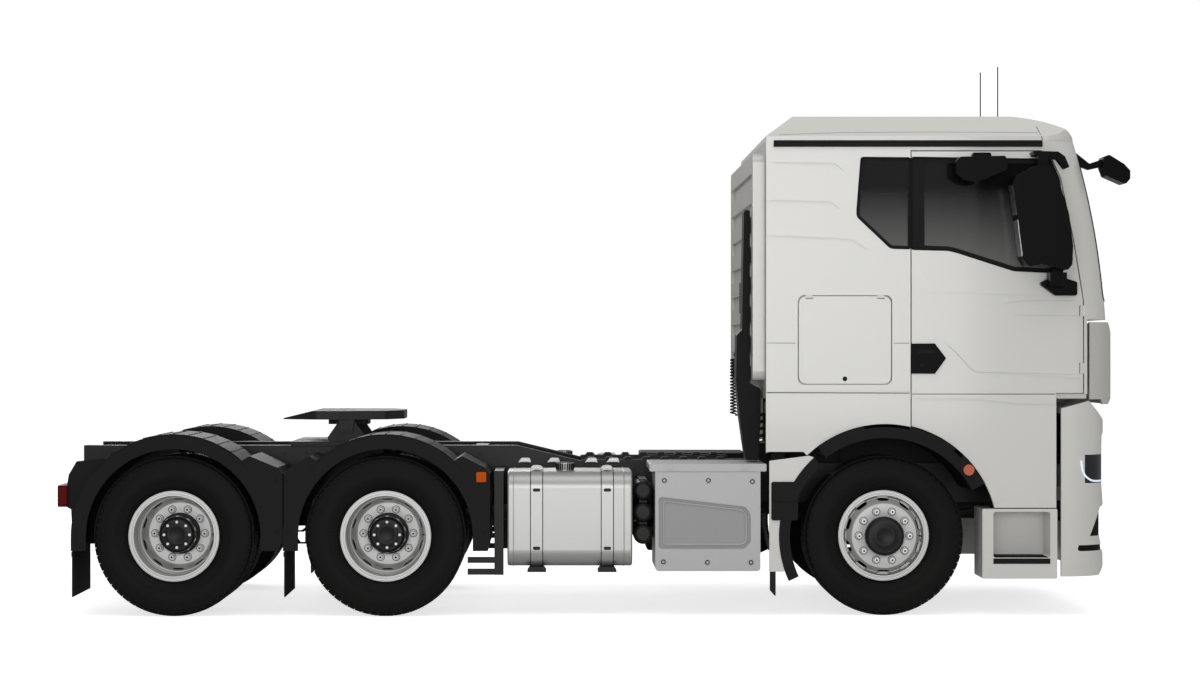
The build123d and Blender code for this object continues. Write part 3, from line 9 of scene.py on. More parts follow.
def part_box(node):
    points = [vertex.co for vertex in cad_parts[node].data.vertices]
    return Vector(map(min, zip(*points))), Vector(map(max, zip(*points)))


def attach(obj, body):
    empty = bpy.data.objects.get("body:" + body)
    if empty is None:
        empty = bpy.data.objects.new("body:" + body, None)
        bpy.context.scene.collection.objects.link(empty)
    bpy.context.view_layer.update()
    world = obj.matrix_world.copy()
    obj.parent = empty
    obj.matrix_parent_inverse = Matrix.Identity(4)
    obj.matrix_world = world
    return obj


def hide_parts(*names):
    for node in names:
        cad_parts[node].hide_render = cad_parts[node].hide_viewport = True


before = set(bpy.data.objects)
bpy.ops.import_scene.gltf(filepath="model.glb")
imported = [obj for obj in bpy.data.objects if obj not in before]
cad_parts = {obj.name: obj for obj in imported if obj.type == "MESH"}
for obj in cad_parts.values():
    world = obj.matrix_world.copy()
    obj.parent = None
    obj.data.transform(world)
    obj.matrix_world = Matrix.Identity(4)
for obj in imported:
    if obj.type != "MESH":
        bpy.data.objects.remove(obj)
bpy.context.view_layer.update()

# Frame: two pressed steel channel rails with riveted cross members and a wheel guard each side.
# They are dipped in satin black chassis paint that takes a thin film of road dust low down.
# Flanged bolts hold the brackets along both webs, and a cable duct lies on each top flange.


def group_tree(name, inputs, outputs, family="ShaderNodeTree"):
    tree = bpy.data.node_groups.new(name, family)
    for label, kind, *value in inputs:
        socket = tree.interface.new_socket(label, in_out="INPUT", socket_type=kind)
        if value:
            socket.default_value = value[0]
    for label, kind in outputs:
        tree.interface.new_socket(label, in_out="OUTPUT", socket_type=kind)
    return tree, tree.nodes.new("NodeGroupInput"), tree.nodes.new("NodeGroupOutput")


def add_node(tree, kind, sockets=None, **settings):
    node = tree.nodes.new(kind)
    for setting, value in settings.items():
        setattr(node, setting, value)
    for socket, value in (sockets or {}).items():
        node.inputs[socket].default_value = value
    return node


def wire(tree, *routes):
    for source, output, target, entry in routes:
        tree.links.new(source.outputs[output], target.inputs[entry])


road_film, film_in, film_out = group_tree(
    "road_film",
    [
        ("Color", "NodeSocketColor", (0.5, 0.5, 0.5, 1.0)),
        ("Dust Color", "NodeSocketColor", (0.16, 0.14, 0.12, 1.0)),
        ("Amount", "NodeSocketFloat", 0.2),
        ("Top", "NodeSocketFloat", 1.0),
        ("Roughness", "NodeSocketFloat", 0.4),
    ],
    [("Color", "NodeSocketColor"), ("Roughness", "NodeSocketFloat")],
)
film_place = add_node(road_film, "ShaderNodeTexCoord")
film_axes = add_node(road_film, "ShaderNodeSeparateXYZ")
film_cloud = add_node(road_film, "ShaderNodeTexNoise", {"Scale": 5.0, "Detail": 8.0})
film_fall = add_node(road_film, "ShaderNodeMapRange", {"From Min": 0.0, "To Min": 1.0, "To Max": 0.0})
film_low = add_node(road_film, "ShaderNodeMath", operation="MULTIPLY")
film_mask = add_node(road_film, "ShaderNodeMath", operation="MULTIPLY")
film_blend = add_node(road_film, "ShaderNodeMix", data_type="RGBA")
film_rough = add_node(road_film, "ShaderNodeMapRange", {"To Max": 0.8})
wire(
    road_film,
    (film_place, "Object", film_axes, "Vector"),
    (film_place, "Object", film_cloud, "Vector"),
    (film_axes, "Z", film_fall, "Value"),
    (film_in, "Top", film_fall, "From Max"),
    (film_fall, "Result", film_low, 0),
    (film_cloud, "Fac", film_low, 1),
    (film_low, "Value", film_mask, 0),
    (film_in, "Amount", film_mask, 1),
    (film_mask, "Value", film_blend, "Factor"),
    (film_in, "Color", film_blend, "A"),
    (film_in, "Dust Color", film_blend, "B"),
    (film_mask, "Value", film_rough, "Value"),
    (film_in, "Roughness", film_rough, "To Min"),
    (film_blend, "Result", film_out, "Color"),
    (film_rough, "Result", film_out, "Roughness"),
)

fine_grain, grain_in, grain_out = group_tree(
    "fine_grain",
    [("Scale", "NodeSocketFloat", 300.0), ("Depth", "NodeSocketFloat", 0.1)],
    [("Normal", "NodeSocketVector")],
)
grain_place = add_node(fine_grain, "ShaderNodeTexCoord")
grain_cloud = add_node(fine_grain, "ShaderNodeTexNoise", {"Detail": 3.0})
grain_bump = add_node(fine_grain, "ShaderNodeBump", {"Distance": 0.001})
wire(
    fine_grain,
    (grain_place, "Object", grain_cloud, "Vector"),
    (grain_in, "Scale", grain_cloud, "Scale"),
    (grain_cloud, "Fac", grain_bump, "Height"),
    (grain_in, "Depth", grain_bump, "Strength"),
    (grain_bump, "Normal", grain_out, "Normal"),
)


def finish(name, color, roughness, metallic=0.0, coat=0.0, dust=0.2, dust_top=1.0, grain=300.0,
           depth=0.1, shine=0.5):
    material = bpy.data.materials.new(name)
    material.use_nodes = True
    tree = material.node_tree
    shader = tree.nodes["Principled BSDF"]
    shader.inputs["Metallic"].default_value = metallic
    shader.inputs["Coat Weight"].default_value = coat
    shader.inputs["Coat Roughness"].default_value = 0.08
    shader.inputs["Specular IOR Level"].default_value = shine
    film = add_node(tree, "ShaderNodeGroup", node_tree=road_film)
    film.inputs["Color"].default_value = (*color, 1.0)
    film.inputs["Amount"].default_value = dust
    film.inputs["Top"].default_value = dust_top
    film.inputs["Roughness"].default_value = roughness
    bump = add_node(tree, "ShaderNodeGroup", {"Scale": grain, "Depth": depth}, node_tree=fine_grain)
    wire(tree, (film, "Color", shader, "Base Color"), (film, "Roughness", shader, "Roughness"),
         (bump, "Normal", shader, "Normal"))
    return material


def dress(material, *nodes):
    for node in nodes:
        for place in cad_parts[node].material_slots:
            place.material = material


def show(name, mesh, material, body, smooth=True):
    mesh.name = name
    mesh.materials.clear()
    mesh.materials.append(material)
    for face in mesh.polygons:
        face.use_smooth = smooth
        face.material_index = 0
    if smooth:
        mesh.set_sharp_from_angle(angle=math.radians(35))
    piece = bpy.data.objects.new(name, mesh)
    bpy.context.scene.collection.objects.link(piece)
    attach(piece, body)
    return piece


def joined(forms):
    form = bmesh.new()
    for mesh in forms:
        form.from_mesh(mesh)
        bpy.data.meshes.remove(mesh)
    whole = bpy.data.meshes.new("form")
    form.to_mesh(whole)
    form.free()
    return whole


def build(name, forms, material, body, smooth=True):
    mesh = joined(forms)
    form = bmesh.new()
    form.from_mesh(mesh)
    bmesh.ops.remove_doubles(form, verts=form.verts, dist=0.00001)
    bmesh.ops.recalc_face_normals(form, faces=form.faces)
    form.to_mesh(mesh)
    form.free()
    return show(name, mesh, material, body, smooth)


def plain_mesh(verts, faces):
    mesh = bpy.data.meshes.new("form")
    mesh.from_pydata([tuple(v) for v in verts], [], faces)
    return mesh


def prism(points, y_from, y_to, soft=0.0, rounds=2):
    count = len(points)
    verts = [(x, y_from, z) for x, z in points] + [(x, y_to, z) for x, z in points]
    faces = [tuple(range(count)), tuple(range(2 * count - 1, count - 1, -1))]
    faces += [(i, (i + 1) % count, (i + 1) % count + count, i + count) for i in range(count)]
    mesh = plain_mesh(verts, faces)
    if soft:
        form = bmesh.new()
        form.from_mesh(mesh)
        bmesh.ops.recalc_face_normals(form, faces=form.faces)
        bmesh.ops.bevel(form, geom=form.edges[:], offset=soft, segments=rounds, affect="EDGES",
                        clamp_overlap=True)
        form.to_mesh(mesh)
        form.free()
    return mesh


def brick(low, high, soft=0.002, rounds=2):
    points = ((low[0], low[2]), (high[0], low[2]), (high[0], high[2]), (low[0], high[2]))
    return prism(points, low[1], high[1], soft, rounds)


def rounded(points, radius, steps=5):
    drawn = []
    count = len(points)
    for i, corner in enumerate(points):
        here = Vector(corner)
        before, after = Vector(points[i - 1]) - here, Vector(points[(i + 1) % count]) - here
        reach = min(radius, before.length * 0.45, after.length * 0.45)
        start, end = here + before.normalized() * reach, here + after.normalized() * reach
        for step in range(steps + 1):
            t = step / steps
            drawn.append(tuple((1 - t) ** 2 * start + 2 * t * (1 - t) * here + t * t * end))
    return drawn


repeat_part, repeat_in, repeat_out = group_tree(
    "repeat_part",
    [
        ("Count", "NodeSocketInt"),
        ("Start", "NodeSocketVector"),
        ("Step", "NodeSocketVector"),
        ("Turn", "NodeSocketVector"),
        ("Turn Step", "NodeSocketVector"),
        ("Twist", "NodeSocketFloat"),
        ("Seed", "NodeSocketInt"),
        ("Part", "NodeSocketObject"),
        ("Material", "NodeSocketMaterial"),
    ],
    [("Geometry", "NodeSocketGeometry")],
    "GeometryNodeTree",
)
repeat_inputs = {entry.name: entry.identifier for entry in repeat_part.interface.items_tree
                 if entry.in_out == "INPUT"}
repeat_line = add_node(repeat_part, "GeometryNodeMeshLine", mode="OFFSET")
repeat_index = add_node(repeat_part, "GeometryNodeInputIndex")
repeat_scale = add_node(repeat_part, "ShaderNodeVectorMath", operation="SCALE")
repeat_sum = add_node(repeat_part, "ShaderNodeVectorMath", operation="ADD")
repeat_turn = add_node(repeat_part, "FunctionNodeEulerToRotation")
repeat_info = add_node(repeat_part, "GeometryNodeObjectInfo", {"As Instance": True})
repeat_place = add_node(repeat_part, "GeometryNodeInstanceOnPoints")
repeat_random = add_node(repeat_part, "FunctionNodeRandomValue", data_type="FLOAT")
repeat_axis = add_node(repeat_part, "ShaderNodeCombineXYZ")
repeat_twist = add_node(repeat_part, "GeometryNodeRotateInstances")
repeat_real = add_node(repeat_part, "GeometryNodeRealizeInstances")
repeat_paint = add_node(repeat_part, "GeometryNodeSetMaterial")
wire(
    repeat_part,
    (repeat_in, "Count", repeat_line, "Count"),
    (repeat_in, "Start", repeat_line, "Start Location"),
    (repeat_in, "Step", repeat_line, "Offset"),
    (repeat_in, "Turn Step", repeat_scale, 0),
    (repeat_index, "Index", repeat_scale, "Scale"),
    (repeat_in, "Turn", repeat_sum, 0),
    (repeat_scale, "Vector", repeat_sum, 1),
    (repeat_sum, "Vector", repeat_turn, "Euler"),
    (repeat_in, "Part", repeat_info, "Object"),
    (repeat_line, "Mesh", repeat_place, "Points"),
    (repeat_info, "Geometry", repeat_place, "Instance"),
    (repeat_turn, "Rotation", repeat_place, "Rotation"),
    (repeat_in, "Twist", repeat_random, "Max"),
    (repeat_in, "Seed", repeat_random, "Seed"),
    (repeat_random, "Value", repeat_axis, "Z"),
    (repeat_place, "Instances", repeat_twist, "Instances"),
    (repeat_axis, "Vector", repeat_twist, "Rotation"),
    (repeat_twist, "Instances", repeat_real, "Geometry"),
    (repeat_real, "Geometry", repeat_paint, "Geometry"),
    (repeat_in, "Material", repeat_paint, "Material"),
    (repeat_paint, "Geometry", repeat_out, "Geometry"),
)


def repeated(part_mesh, count, start, step, material, turn=(0, 0, 0), turn_step=(0, 0, 0), twist=0.0):
    part = bpy.data.objects.new("part", part_mesh)
    maker = bpy.data.objects.new("maker", bpy.data.meshes.new("maker"))
    for helper in (part, maker):
        bpy.context.scene.collection.objects.link(helper)
    modifier = maker.modifiers.new("repeat", "NODES")
    modifier.node_group = repeat_part
    for label, value in (("Count", count), ("Start", start), ("Step", step), ("Turn", turn),
                         ("Turn Step", turn_step), ("Twist", twist), ("Seed", 3), ("Part", part),
                         ("Material", material)):
        modifier[repeat_inputs[label]] = value
    mesh = bpy.data.meshes.new_from_object(maker.evaluated_get(bpy.context.evaluated_depsgraph_get()))
    for helper in (maker, part):
        used = helper.data
        bpy.data.objects.remove(helper)
        bpy.data.meshes.remove(used)
    return mesh


def bolt(radius, height):
    verts = []
    for level, reach in ((0.0, 1.35), (0.22, 1.35), (0.22, 1.0), (0.9, 1.0), (1.0, 0.86)):
        verts += [(reach * radius * math.cos(math.pi * k / 3), reach * radius * math.sin(math.pi * k / 3),
                   level * height) for k in range(6)]
    faces = [(6 * r + k, 6 * r + (k + 1) % 6, 6 * r + 6 + (k + 1) % 6, 6 * r + 6 + k)
             for r in range(4) for k in range(6)]
    faces += [tuple(range(24, 30)), tuple(range(5, -1, -1))]
    return plain_mesh(verts, faces)


frame_black = finish("frame_paint", (0.006, 0.006, 0.006), 0.36, dust=0.12, dust_top=1.1, shine=0.2)
dress(frame_black, "frame", "air_tanks")
strap_metal = finish("strap_steel", (0.42, 0.42, 0.415), 0.38, metallic=0.7, dust=0.08, dust_top=0.6)
rail_face, rail_middle, rail_top = 0.4203, 0.39, 0.979
duct_half, duct_top = 0.03, 1.005
hanger_foot, hanger_head = 0.985, 1.018
hanger_inner, hanger_outer = 0.46, 0.466
bolt_rows = (
    # height, place of the first bolt, spacing, number of bolts
    (0.75, -0.05, 0.16, 16),
    (0.94, -0.05, 0.16, 16),
    (0.88, -3.35, 0.15, 18),
    (1.05, -3.35, 0.15, 18),
)
web_bolts, duct, hangers = [], [], []
for sign in (-1, 1):
    rail_y = sign * rail_middle
    for row_z, first, spacing, count in bolt_rows:
        web_bolts.append(repeated(bolt(0.011, 0.012), count, (first, sign * rail_face, row_z),
                                  (spacing, 0, 0), frame_black, turn=(-sign * math.pi / 2, 0, 0), twist=1.0))
    duct.append(brick((-0.1, rail_y - duct_half, rail_top), (0.96, rail_y + duct_half, duct_top), 0.006))
    duct.append(repeated(brick((-0.034, -0.034, -0.014), (0.034, 0.034, 0.014), 0.012, 3), 8,
                         (-0.03, rail_y, duct_top + 0.005), (0.128, 0, 0), frame_black))
    for x in (-0.49, -0.29, -0.03, 0.12):
        plate = [(x - 0.045, hanger_foot), (x + 0.045, hanger_foot), (x + 0.035, hanger_head),
                 (x - 0.02, hanger_head)]
        hangers.append(prism(rounded(plate, 0.008), sign * hanger_inner, sign * hanger_outer, 0.001, 1))
        hangers.append(brick((x - 0.035, sign * 0.42, hanger_foot),
                             (x + 0.035, sign * hanger_outer, hanger_foot + 0.006), 0.001, 1))
build("frame_bolts", web_bolts, frame_black, "chassis", smooth=False)
build("cable_ducts", duct, frame_black, "chassis")
build("hanger_plates", hangers, strap_metal, "chassis")

# Cab mounts: cast pivot lugs at the front and sprung mounts at the rear.
# They are black like the rails; coil springs sit round the rear posts.


def tube(points, radius, closed=False, sides=3):
    curve = bpy.data.curves.new("path", "CURVE")
    curve.dimensions = "3D"
    curve.bevel_depth = radius
    curve.bevel_resolution = sides
    curve.use_fill_caps = True
    spline = curve.splines.new("POLY")
    spline.points.add(len(points) - 1)
    for point, place in zip(spline.points, points):
        point.co = (*place, 1.0)
    spline.use_cyclic_u = closed
    holder = bpy.data.objects.new("path", curve)
    bpy.context.scene.collection.objects.link(holder)
    mesh = bpy.data.meshes.new_from_object(holder.evaluated_get(bpy.context.evaluated_depsgraph_get()))
    bpy.data.objects.remove(holder)
    bpy.data.curves.remove(curve)
    return mesh


def helix(centre_x, centre_y, reach, foot, height, turns, steps):
    path = []
    for step in range(turns * steps + 1):
        turn = step / steps * 2 * math.pi
        path.append((centre_x + reach * math.cos(turn), centre_y + reach * math.sin(turn),
                     foot + height * step / (turns * steps)))
    return path


dress(frame_black, "cab_mounts")
spring_y = 0.378
springs = [tube(helix(1.262, sign * spring_y, 0.075, 1.02, 0.3, 6, 16), 0.009) for sign in (-1, 1)]
build("cab_springs", springs, frame_black, "chassis")

# Engine: the in-line block with radiator and shaft, closed in by the cab.
# Cast iron under a dark heat-proof coat.
engine_iron = finish("engine_iron", (0.014, 0.014, 0.015), 0.55, metallic=0.4, dust=0.2, dust_top=1.4,
                     depth=0.3, shine=0.2)
dress(engine_iron, "engine")
fins = repeated(brick((-0.002, -0.3, -0.002), (0.004, 0.3, 0.004), 0.0, 1), 44, (2.958, 0.0, 0.62),
                (0, 0, 0.0145), engine_iron)
build("radiator_fins", [fins], engine_iron, "chassis", smooth=False)

# Front axle: a forged beam on leaf springs with cast steering knuckles.
# All of it wears rough black casting paint; U-bolts clamp the springs.
cast_black = finish("cast_black", (0.008, 0.008, 0.008), 0.5, metallic=0.2, dust=0.15, dust_top=1.0,
                    grain=180, depth=0.35, shine=0.2)
dress(cast_black, "front_axle", "knuckle_right", "knuckle_left")


def clamp_legs(x, middle_y, reach, foot, head):
    return [tube([(x, middle_y + edge, foot), (x, middle_y + edge, head)], 0.009) for edge in (-reach, reach)]


clamp_reach, clamp_head = 0.055, 0.655
clamps = []
for sign in (-1, 1):
    for x in (1.85, 1.955):
        clamps += clamp_legs(x, sign * spring_y, clamp_reach, 0.5, clamp_head)
        clamps.append(tube([(x, sign * spring_y + edge, clamp_head) for edge in (-clamp_reach, clamp_reach)],
                           0.009))
build("axle_clamps", clamps, cast_black, "chassis")

# Rear axles: two driven axle casings with springs and torque rods.
# Spring brake chambers hang behind each casing, and U-bolts hold the springs.


def turned(points, sign, centre, steps, closed=False):
    verts = []
    for step in range(steps):
        turn = 2 * math.pi * step / steps
        for across, radius in points:
            verts.append((centre[0] + radius * math.cos(turn), centre[1] + sign * across,
                          centre[2] + radius * math.sin(turn)))
    count = len(points)
    faces = []
    for step in range(steps):
        after = (step + 1) % steps
        for i in range(count if closed else count - 1):
            j = (i + 1) % count
            faces.append((step * count + i, step * count + j, after * count + j, after * count + i))
    return plain_mesh(verts, faces)


dress(cast_black, "rear_axles")
mid_axle_x, rear_axle_x = -1.398, -2.798
chamber = [(0.27, 0.0), (0.27, 0.06), (0.282, 0.082), (0.345, 0.086), (0.35, 0.092), (0.36, 0.092),
           (0.365, 0.086), (0.43, 0.082), (0.445, 0.06), (0.445, 0.0)]
chambers = []
for axle_x in (mid_axle_x, rear_axle_x):
    for sign in (-1, 1):
        chambers.append(turned(chamber, sign, (axle_x + 0.18, 0, 0.66), 28))
        for x in (axle_x - 0.05, axle_x + 0.05):
            chambers += clamp_legs(x, sign * 0.485, 0.058, 0.43, 0.72)
build("brake_chambers", chambers, cast_black, "chassis")

# Wheels: pressed steel discs with a machined seat ring and ten nuts; the ring's paint carries painted light
# and shade.
# The rims are sprayed silver, and dark hub castings stand in the middle.


def circled(part_mesh, count, centre, material, turn=(0, 0, 0)):
    return repeated(part_mesh, count, centre, (0, 0, 0), material, turn=turn,
                    turn_step=(0, 2 * math.pi / count, 0))


def surface(node):
    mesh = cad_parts[node].data
    return BVHTree.FromPolygons([v.co for v in mesh.vertices], [tuple(p.vertices) for p in mesh.polygons])


def side_hit(tree, x, z, sign):
    return tree.ray_cast(Vector((x, sign * 2.0, z)), Vector((0, -sign, 0)))[0]


wheel_silver = finish("wheel_steel", (0.44, 0.44, 0.435), 0.36, metallic=0.4, dust=0.06, dust_top=1.1)
# The seat ring comes as two copies of one silver: brightened for the back wheels as painted light in their
# deep dish, and darker for the front wheels as painted shade. The nuts, beads and hub slots use the
# brightened copy.
ring_silver_lit = finish("seat_ring_painted_light", (0.93, 0.93, 0.925), 0.32, dust=0.0, dust_top=1.1)
front_ring_shaded = finish("front_ring_painted_shade", (0.6, 0.6, 0.595), 0.34, dust=0.0, dust_top=1.1)
hub_black = finish("hub_black", (0.006, 0.006, 0.006), 0.42, dust=0.05, dust_top=1.0,
                   shine=0.25)
front_axle_x = 1.902
axle_height = 0.53
nut_circle = 0.1675
hands = {"right": -1, "left": 1}
wheel_places = (
    # wheel, its middle along the vehicle, outer face of its disc, how far the hub stands out, hub radius,
    # how far the valve stands before the disc, finish of the seat ring (painted light at the back, painted
    # shade at the front)
    ("front_wheel", front_axle_x, 1.17, 0.0588, 0.1286, 0.0, front_ring_shaded),
    ("mid_wheel", mid_axle_x, 0.9315, 0.1522, 0.1218, 0.12, ring_silver_lit),
    ("rear_wheel", rear_axle_x, 0.9315, 0.1522, 0.1218, 0.12, ring_silver_lit),
)
for wheel, middle, face, stand, hub_radius, valve_reach, ring_finish in wheel_places:
    for hand, sign in hands.items():
        body = f"{wheel}_{hand}"
        dress(wheel_silver, body)
        centre = (middle, 0.0, axle_height)
        hub_face = face + stand
        ring = [(face - 0.002, 0.1335), (face + 0.0015, 0.1335), (face + 0.003, 0.136), (face + 0.003, 0.206),
                (face + 0.0015, 0.2105), (face - 0.002, 0.2105)]
        washer = turned([(face, 0.0), (face + 0.006, 0.0), (face + 0.006, 0.021), (face + 0.004, 0.0235),
                         (face, 0.0235)], sign, (nut_circle, 0, 0), 18)
        build(f"nut_ring_{body}", [turned(ring, sign, centre, 72, closed=True),
                                   circled(washer, 10, centre, ring_silver_lit)], ring_finish, body)
        nut = turned([(face + 0.032, 0.0165), (face + 0.04, 0.0165), (face + 0.042, 0.0145),
                      (face + 0.042, 0.0)], sign, (nut_circle, 0, 0), 6)
        build(f"wheel_nuts_{body}", [circled(nut, 10, centre, ring_silver_lit)], ring_silver_lit, body, smooth=False)
        shade = turned([(face + 0.003, 0.0235), (face + 0.0036, 0.024), (face + 0.0036, 0.027),
                        (face + 0.003, 0.0275)], sign, (nut_circle, 0, 0), 18)
        tip = turned([(face + 0.0418, 0.0075), (face + 0.0428, 0.007), (face + 0.0428, 0.0)], sign,
                     (nut_circle, 0, 0), 10)
        cap = [(face - 0.01, hub_radius), (hub_face - 0.017, hub_radius), (hub_face, hub_radius - 0.0195),
               (hub_face, 0.072), (hub_face + 0.0012, 0.07), (hub_face + 0.0012, 0.052), (hub_face, 0.05),
               (hub_face + 0.0006, 0.0)]
        dark = [turned(cap, sign, centre, 60), circled(shade, 10, centre, hub_black),
                circled(tip, 10, centre, hub_black)]
        if wheel != "front_wheel":
            flange = [(face + 0.0005, 0.1385), (face + 0.013, 0.1385), (face + 0.017, 0.134),
                      (face + 0.017, 0.121)]
            dark.append(turned(flange, sign, centre, 60))
            slot_y = sign * (hub_face - 0.03)
            slot = brick((0.112, slot_y - 0.002, -0.011), (0.1245, slot_y + 0.012, 0.011), 0.002, 1)
            stud = turned([(hub_face, 0.01), (hub_face + 0.008, 0.009), (hub_face + 0.008, 0.0)], sign,
                          (0.085, 0, 0), 8)
            build(f"hub_slots_{body}", [circled(slot, 10, centre, ring_silver_lit, turn=(0, 0.31, 0)),
                                        circled(stud, 8, centre, ring_silver_lit)], ring_silver_lit, body)
        build(f"hub_cap_{body}", dark, hub_black, body)
        rim = surface(body)
        beads = []
        for bead_radius in (0.2885, 0.27, 0.248):
            loop = []
            for step in range(72):
                turn = 2 * math.pi * step / 72
                x, z = middle + bead_radius * math.cos(turn), axle_height + bead_radius * math.sin(turn)
                hit = side_hit(rim, x, z, sign)
                if hit is not None:
                    loop.append((x, hit.y, z))
            beads.append(tube(loop, 0.0022, closed=True, sides=2))
        build(f"rim_beads_{body}", beads, ring_silver_lit, body)
        stem = [(middle + along, sign * (face + valve_reach + out), axle_height)
                for along, out in ((0.235, -0.02), (0.243, 0.015), (0.243, 0.05))]
        build(f"valve_{body}", [tube(stem, 0.005)], hub_black, body)

# Tyres: radial truck tyres with a ribbed road tread, moulded in black rubber.
# Five ribs of tread blocks stand between four grooves, and the walls carry plain moulded rings.
rubber = finish("tyre_rubber", (0.0055, 0.0055, 0.0055), 0.55, dust=0.03, dust_top=1.1, grain=250, depth=0.25,
                shine=0.09)
wall_line = [
    # across from the tyre's middle, out from the axle: from the bead to the tread's shoulder
    (0.112, 0.287), (0.112, 0.3), (0.116, 0.306), (0.1155, 0.3085), (0.1245, 0.318), (0.133, 0.33),
    (0.1345, 0.3302), (0.1405, 0.343), (0.145, 0.356), (0.1465, 0.3562), (0.15, 0.376), (0.1515, 0.396),
    (0.152, 0.408), (0.1517, 0.425), (0.15, 0.442), (0.1485, 0.4424), (0.147, 0.456), (0.148, 0.4566),
    (0.1455, 0.473), (0.143, 0.487), (0.1443, 0.4876), (0.142, 0.499), (0.1375, 0.509), (0.129, 0.5165),
    (0.119, 0.52),
]
groove_line = []
for groove_edge in (0.079, 0.029, -0.019, -0.069):
    groove_line += [(groove_edge, 0.5215), (groove_edge - 0.0015, 0.513), (groove_edge - 0.0085, 0.513),
                    (groove_edge - 0.01, 0.5215)]
tread_line = wall_line + groove_line + [(-a, r) for a, r in reversed(wall_line)]
block_rows = ((0.0815, 0.116), (0.032, 0.067), (-0.017, 0.017), (-0.067, -0.032), (-0.116, -0.0815))
block_count, block_half = 62, 0.0245
wall_ring = 0.1445
twin_places = (1.0925, 0.7425)
for tyre, wheel, middle, places in (
    ("front_tyre", "front_wheel", front_axle_x, (1.02,)),
    ("mid_tyres", "mid_wheel", mid_axle_x, twin_places),
    ("rear_tyres", "rear_wheel", rear_axle_x, twin_places),
):
    for hand, sign in hands.items():
        forms = []
        for place in places:
            centre = (middle, sign * place, axle_height)
            forms.append(turned(tread_line, sign, centre, 120))
            row = joined([brick((0.518, low, -block_half), (0.529, high, block_half), 0.0)
                          for low, high in block_rows])
            forms.append(circled(row, block_count, centre, rubber))
            for nub_y in (wall_ring - 0.0165, -wall_ring):
                nub = brick((0.498, nub_y, -0.012), (0.513, nub_y + 0.0165, 0.012), 0.003, 1)
                forms.append(circled(nub, block_count, centre, rubber, turn=(0, 0.05, 0)))
        wall_y = places[0] + wall_ring
        ridge = brick((0.36, sign * wall_y, -0.0008), (0.395, sign * (wall_y + 0.008), 0.0008), 0.0)
        forms.append(circled(ridge, 240, (middle, 0, axle_height), rubber))
        piece = build(f"{tyre}_{hand}_rubber", forms, rubber, f"{wheel}_{hand}")
        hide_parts(f"{tyre}_{hand}")

# Coupling plate: the cast fifth wheel on its pedestals, with jaws and a release handle.
# Grey painted casting, worn on top where the trailer turns, and greasy in the throat.
cast_grey = finish("cast_grey", (0.018, 0.018, 0.018), 0.5, metallic=0.2, dust=0.15, dust_top=1.4, grain=200,
                   depth=0.3, shine=0.25)
dress(cast_grey, "fifth_wheel_mount", "fifth_wheel_plate")
mount_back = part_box("fifth_wheel_mount")[0][0]
base_bolts = [repeated(bolt(0.014, 0.016), 4, (mount_back + 0.12, sign * 0.452, 1.1085), (0.17, 0, 0),
                       cast_grey, twist=1.0) for sign in (-1, 1)]
build("coupling_bolts", base_bolts, cast_grey, "chassis", smooth=False)

# Fuel tanks: extruded alloy shells closed by welded ends, with a ribbed cap on top.
# Bare metal dulled by weather; the bands are steel over a black rubber strip and stand on black feet.
tank_metal = finish("tank_metal", (0.44, 0.44, 0.43), 0.43, metallic=0.8, dust=0.12,
                    dust_top=0.7, grain=90, depth=0.06)
dress(tank_metal, "fuel_tanks")
dress(strap_metal, "tank_straps")
black_plastic = finish("black_plastic", (0.0075, 0.0078, 0.0078), 0.5, dust=0.04, dust_top=1.1, grain=700,
                       depth=0.35, shine=0.1)
tank_corner = 0.11
strap_half = 0.043
cap_x, cap_y = -0.212, 1.04


def tank_loop(sign, grow):
    drawn = []
    for i, (y, z) in enumerate(((0.67, 0.437), (1.1, 0.437), (1.1, 0.848), (0.67, 0.848))):
        for step in range(9):
            turn = math.radians(180 + 90 * i + 90 * step / 8)
            drawn.append((sign * (y + (tank_corner + grow) * math.cos(turn)),
                          z + (tank_corner + grow) * math.sin(turn)))
    return drawn


def tank_band(sign, rear, front, inner, outer):
    rings = [[(x, y, z) for y, z in tank_loop(sign, grow)]
             for x, grow in ((rear, inner), (rear, outer), (front, outer), (front, inner))]
    count = len(rings[0])
    faces = []
    for ring in range(4):
        for i in range(count):
            j = (i + 1) % count
            faces.append((ring * count + i, ring * count + j, (ring + 1) % 4 * count + j,
                          (ring + 1) % 4 * count + i))
    return plain_mesh([v for ring in rings for v in ring], faces)


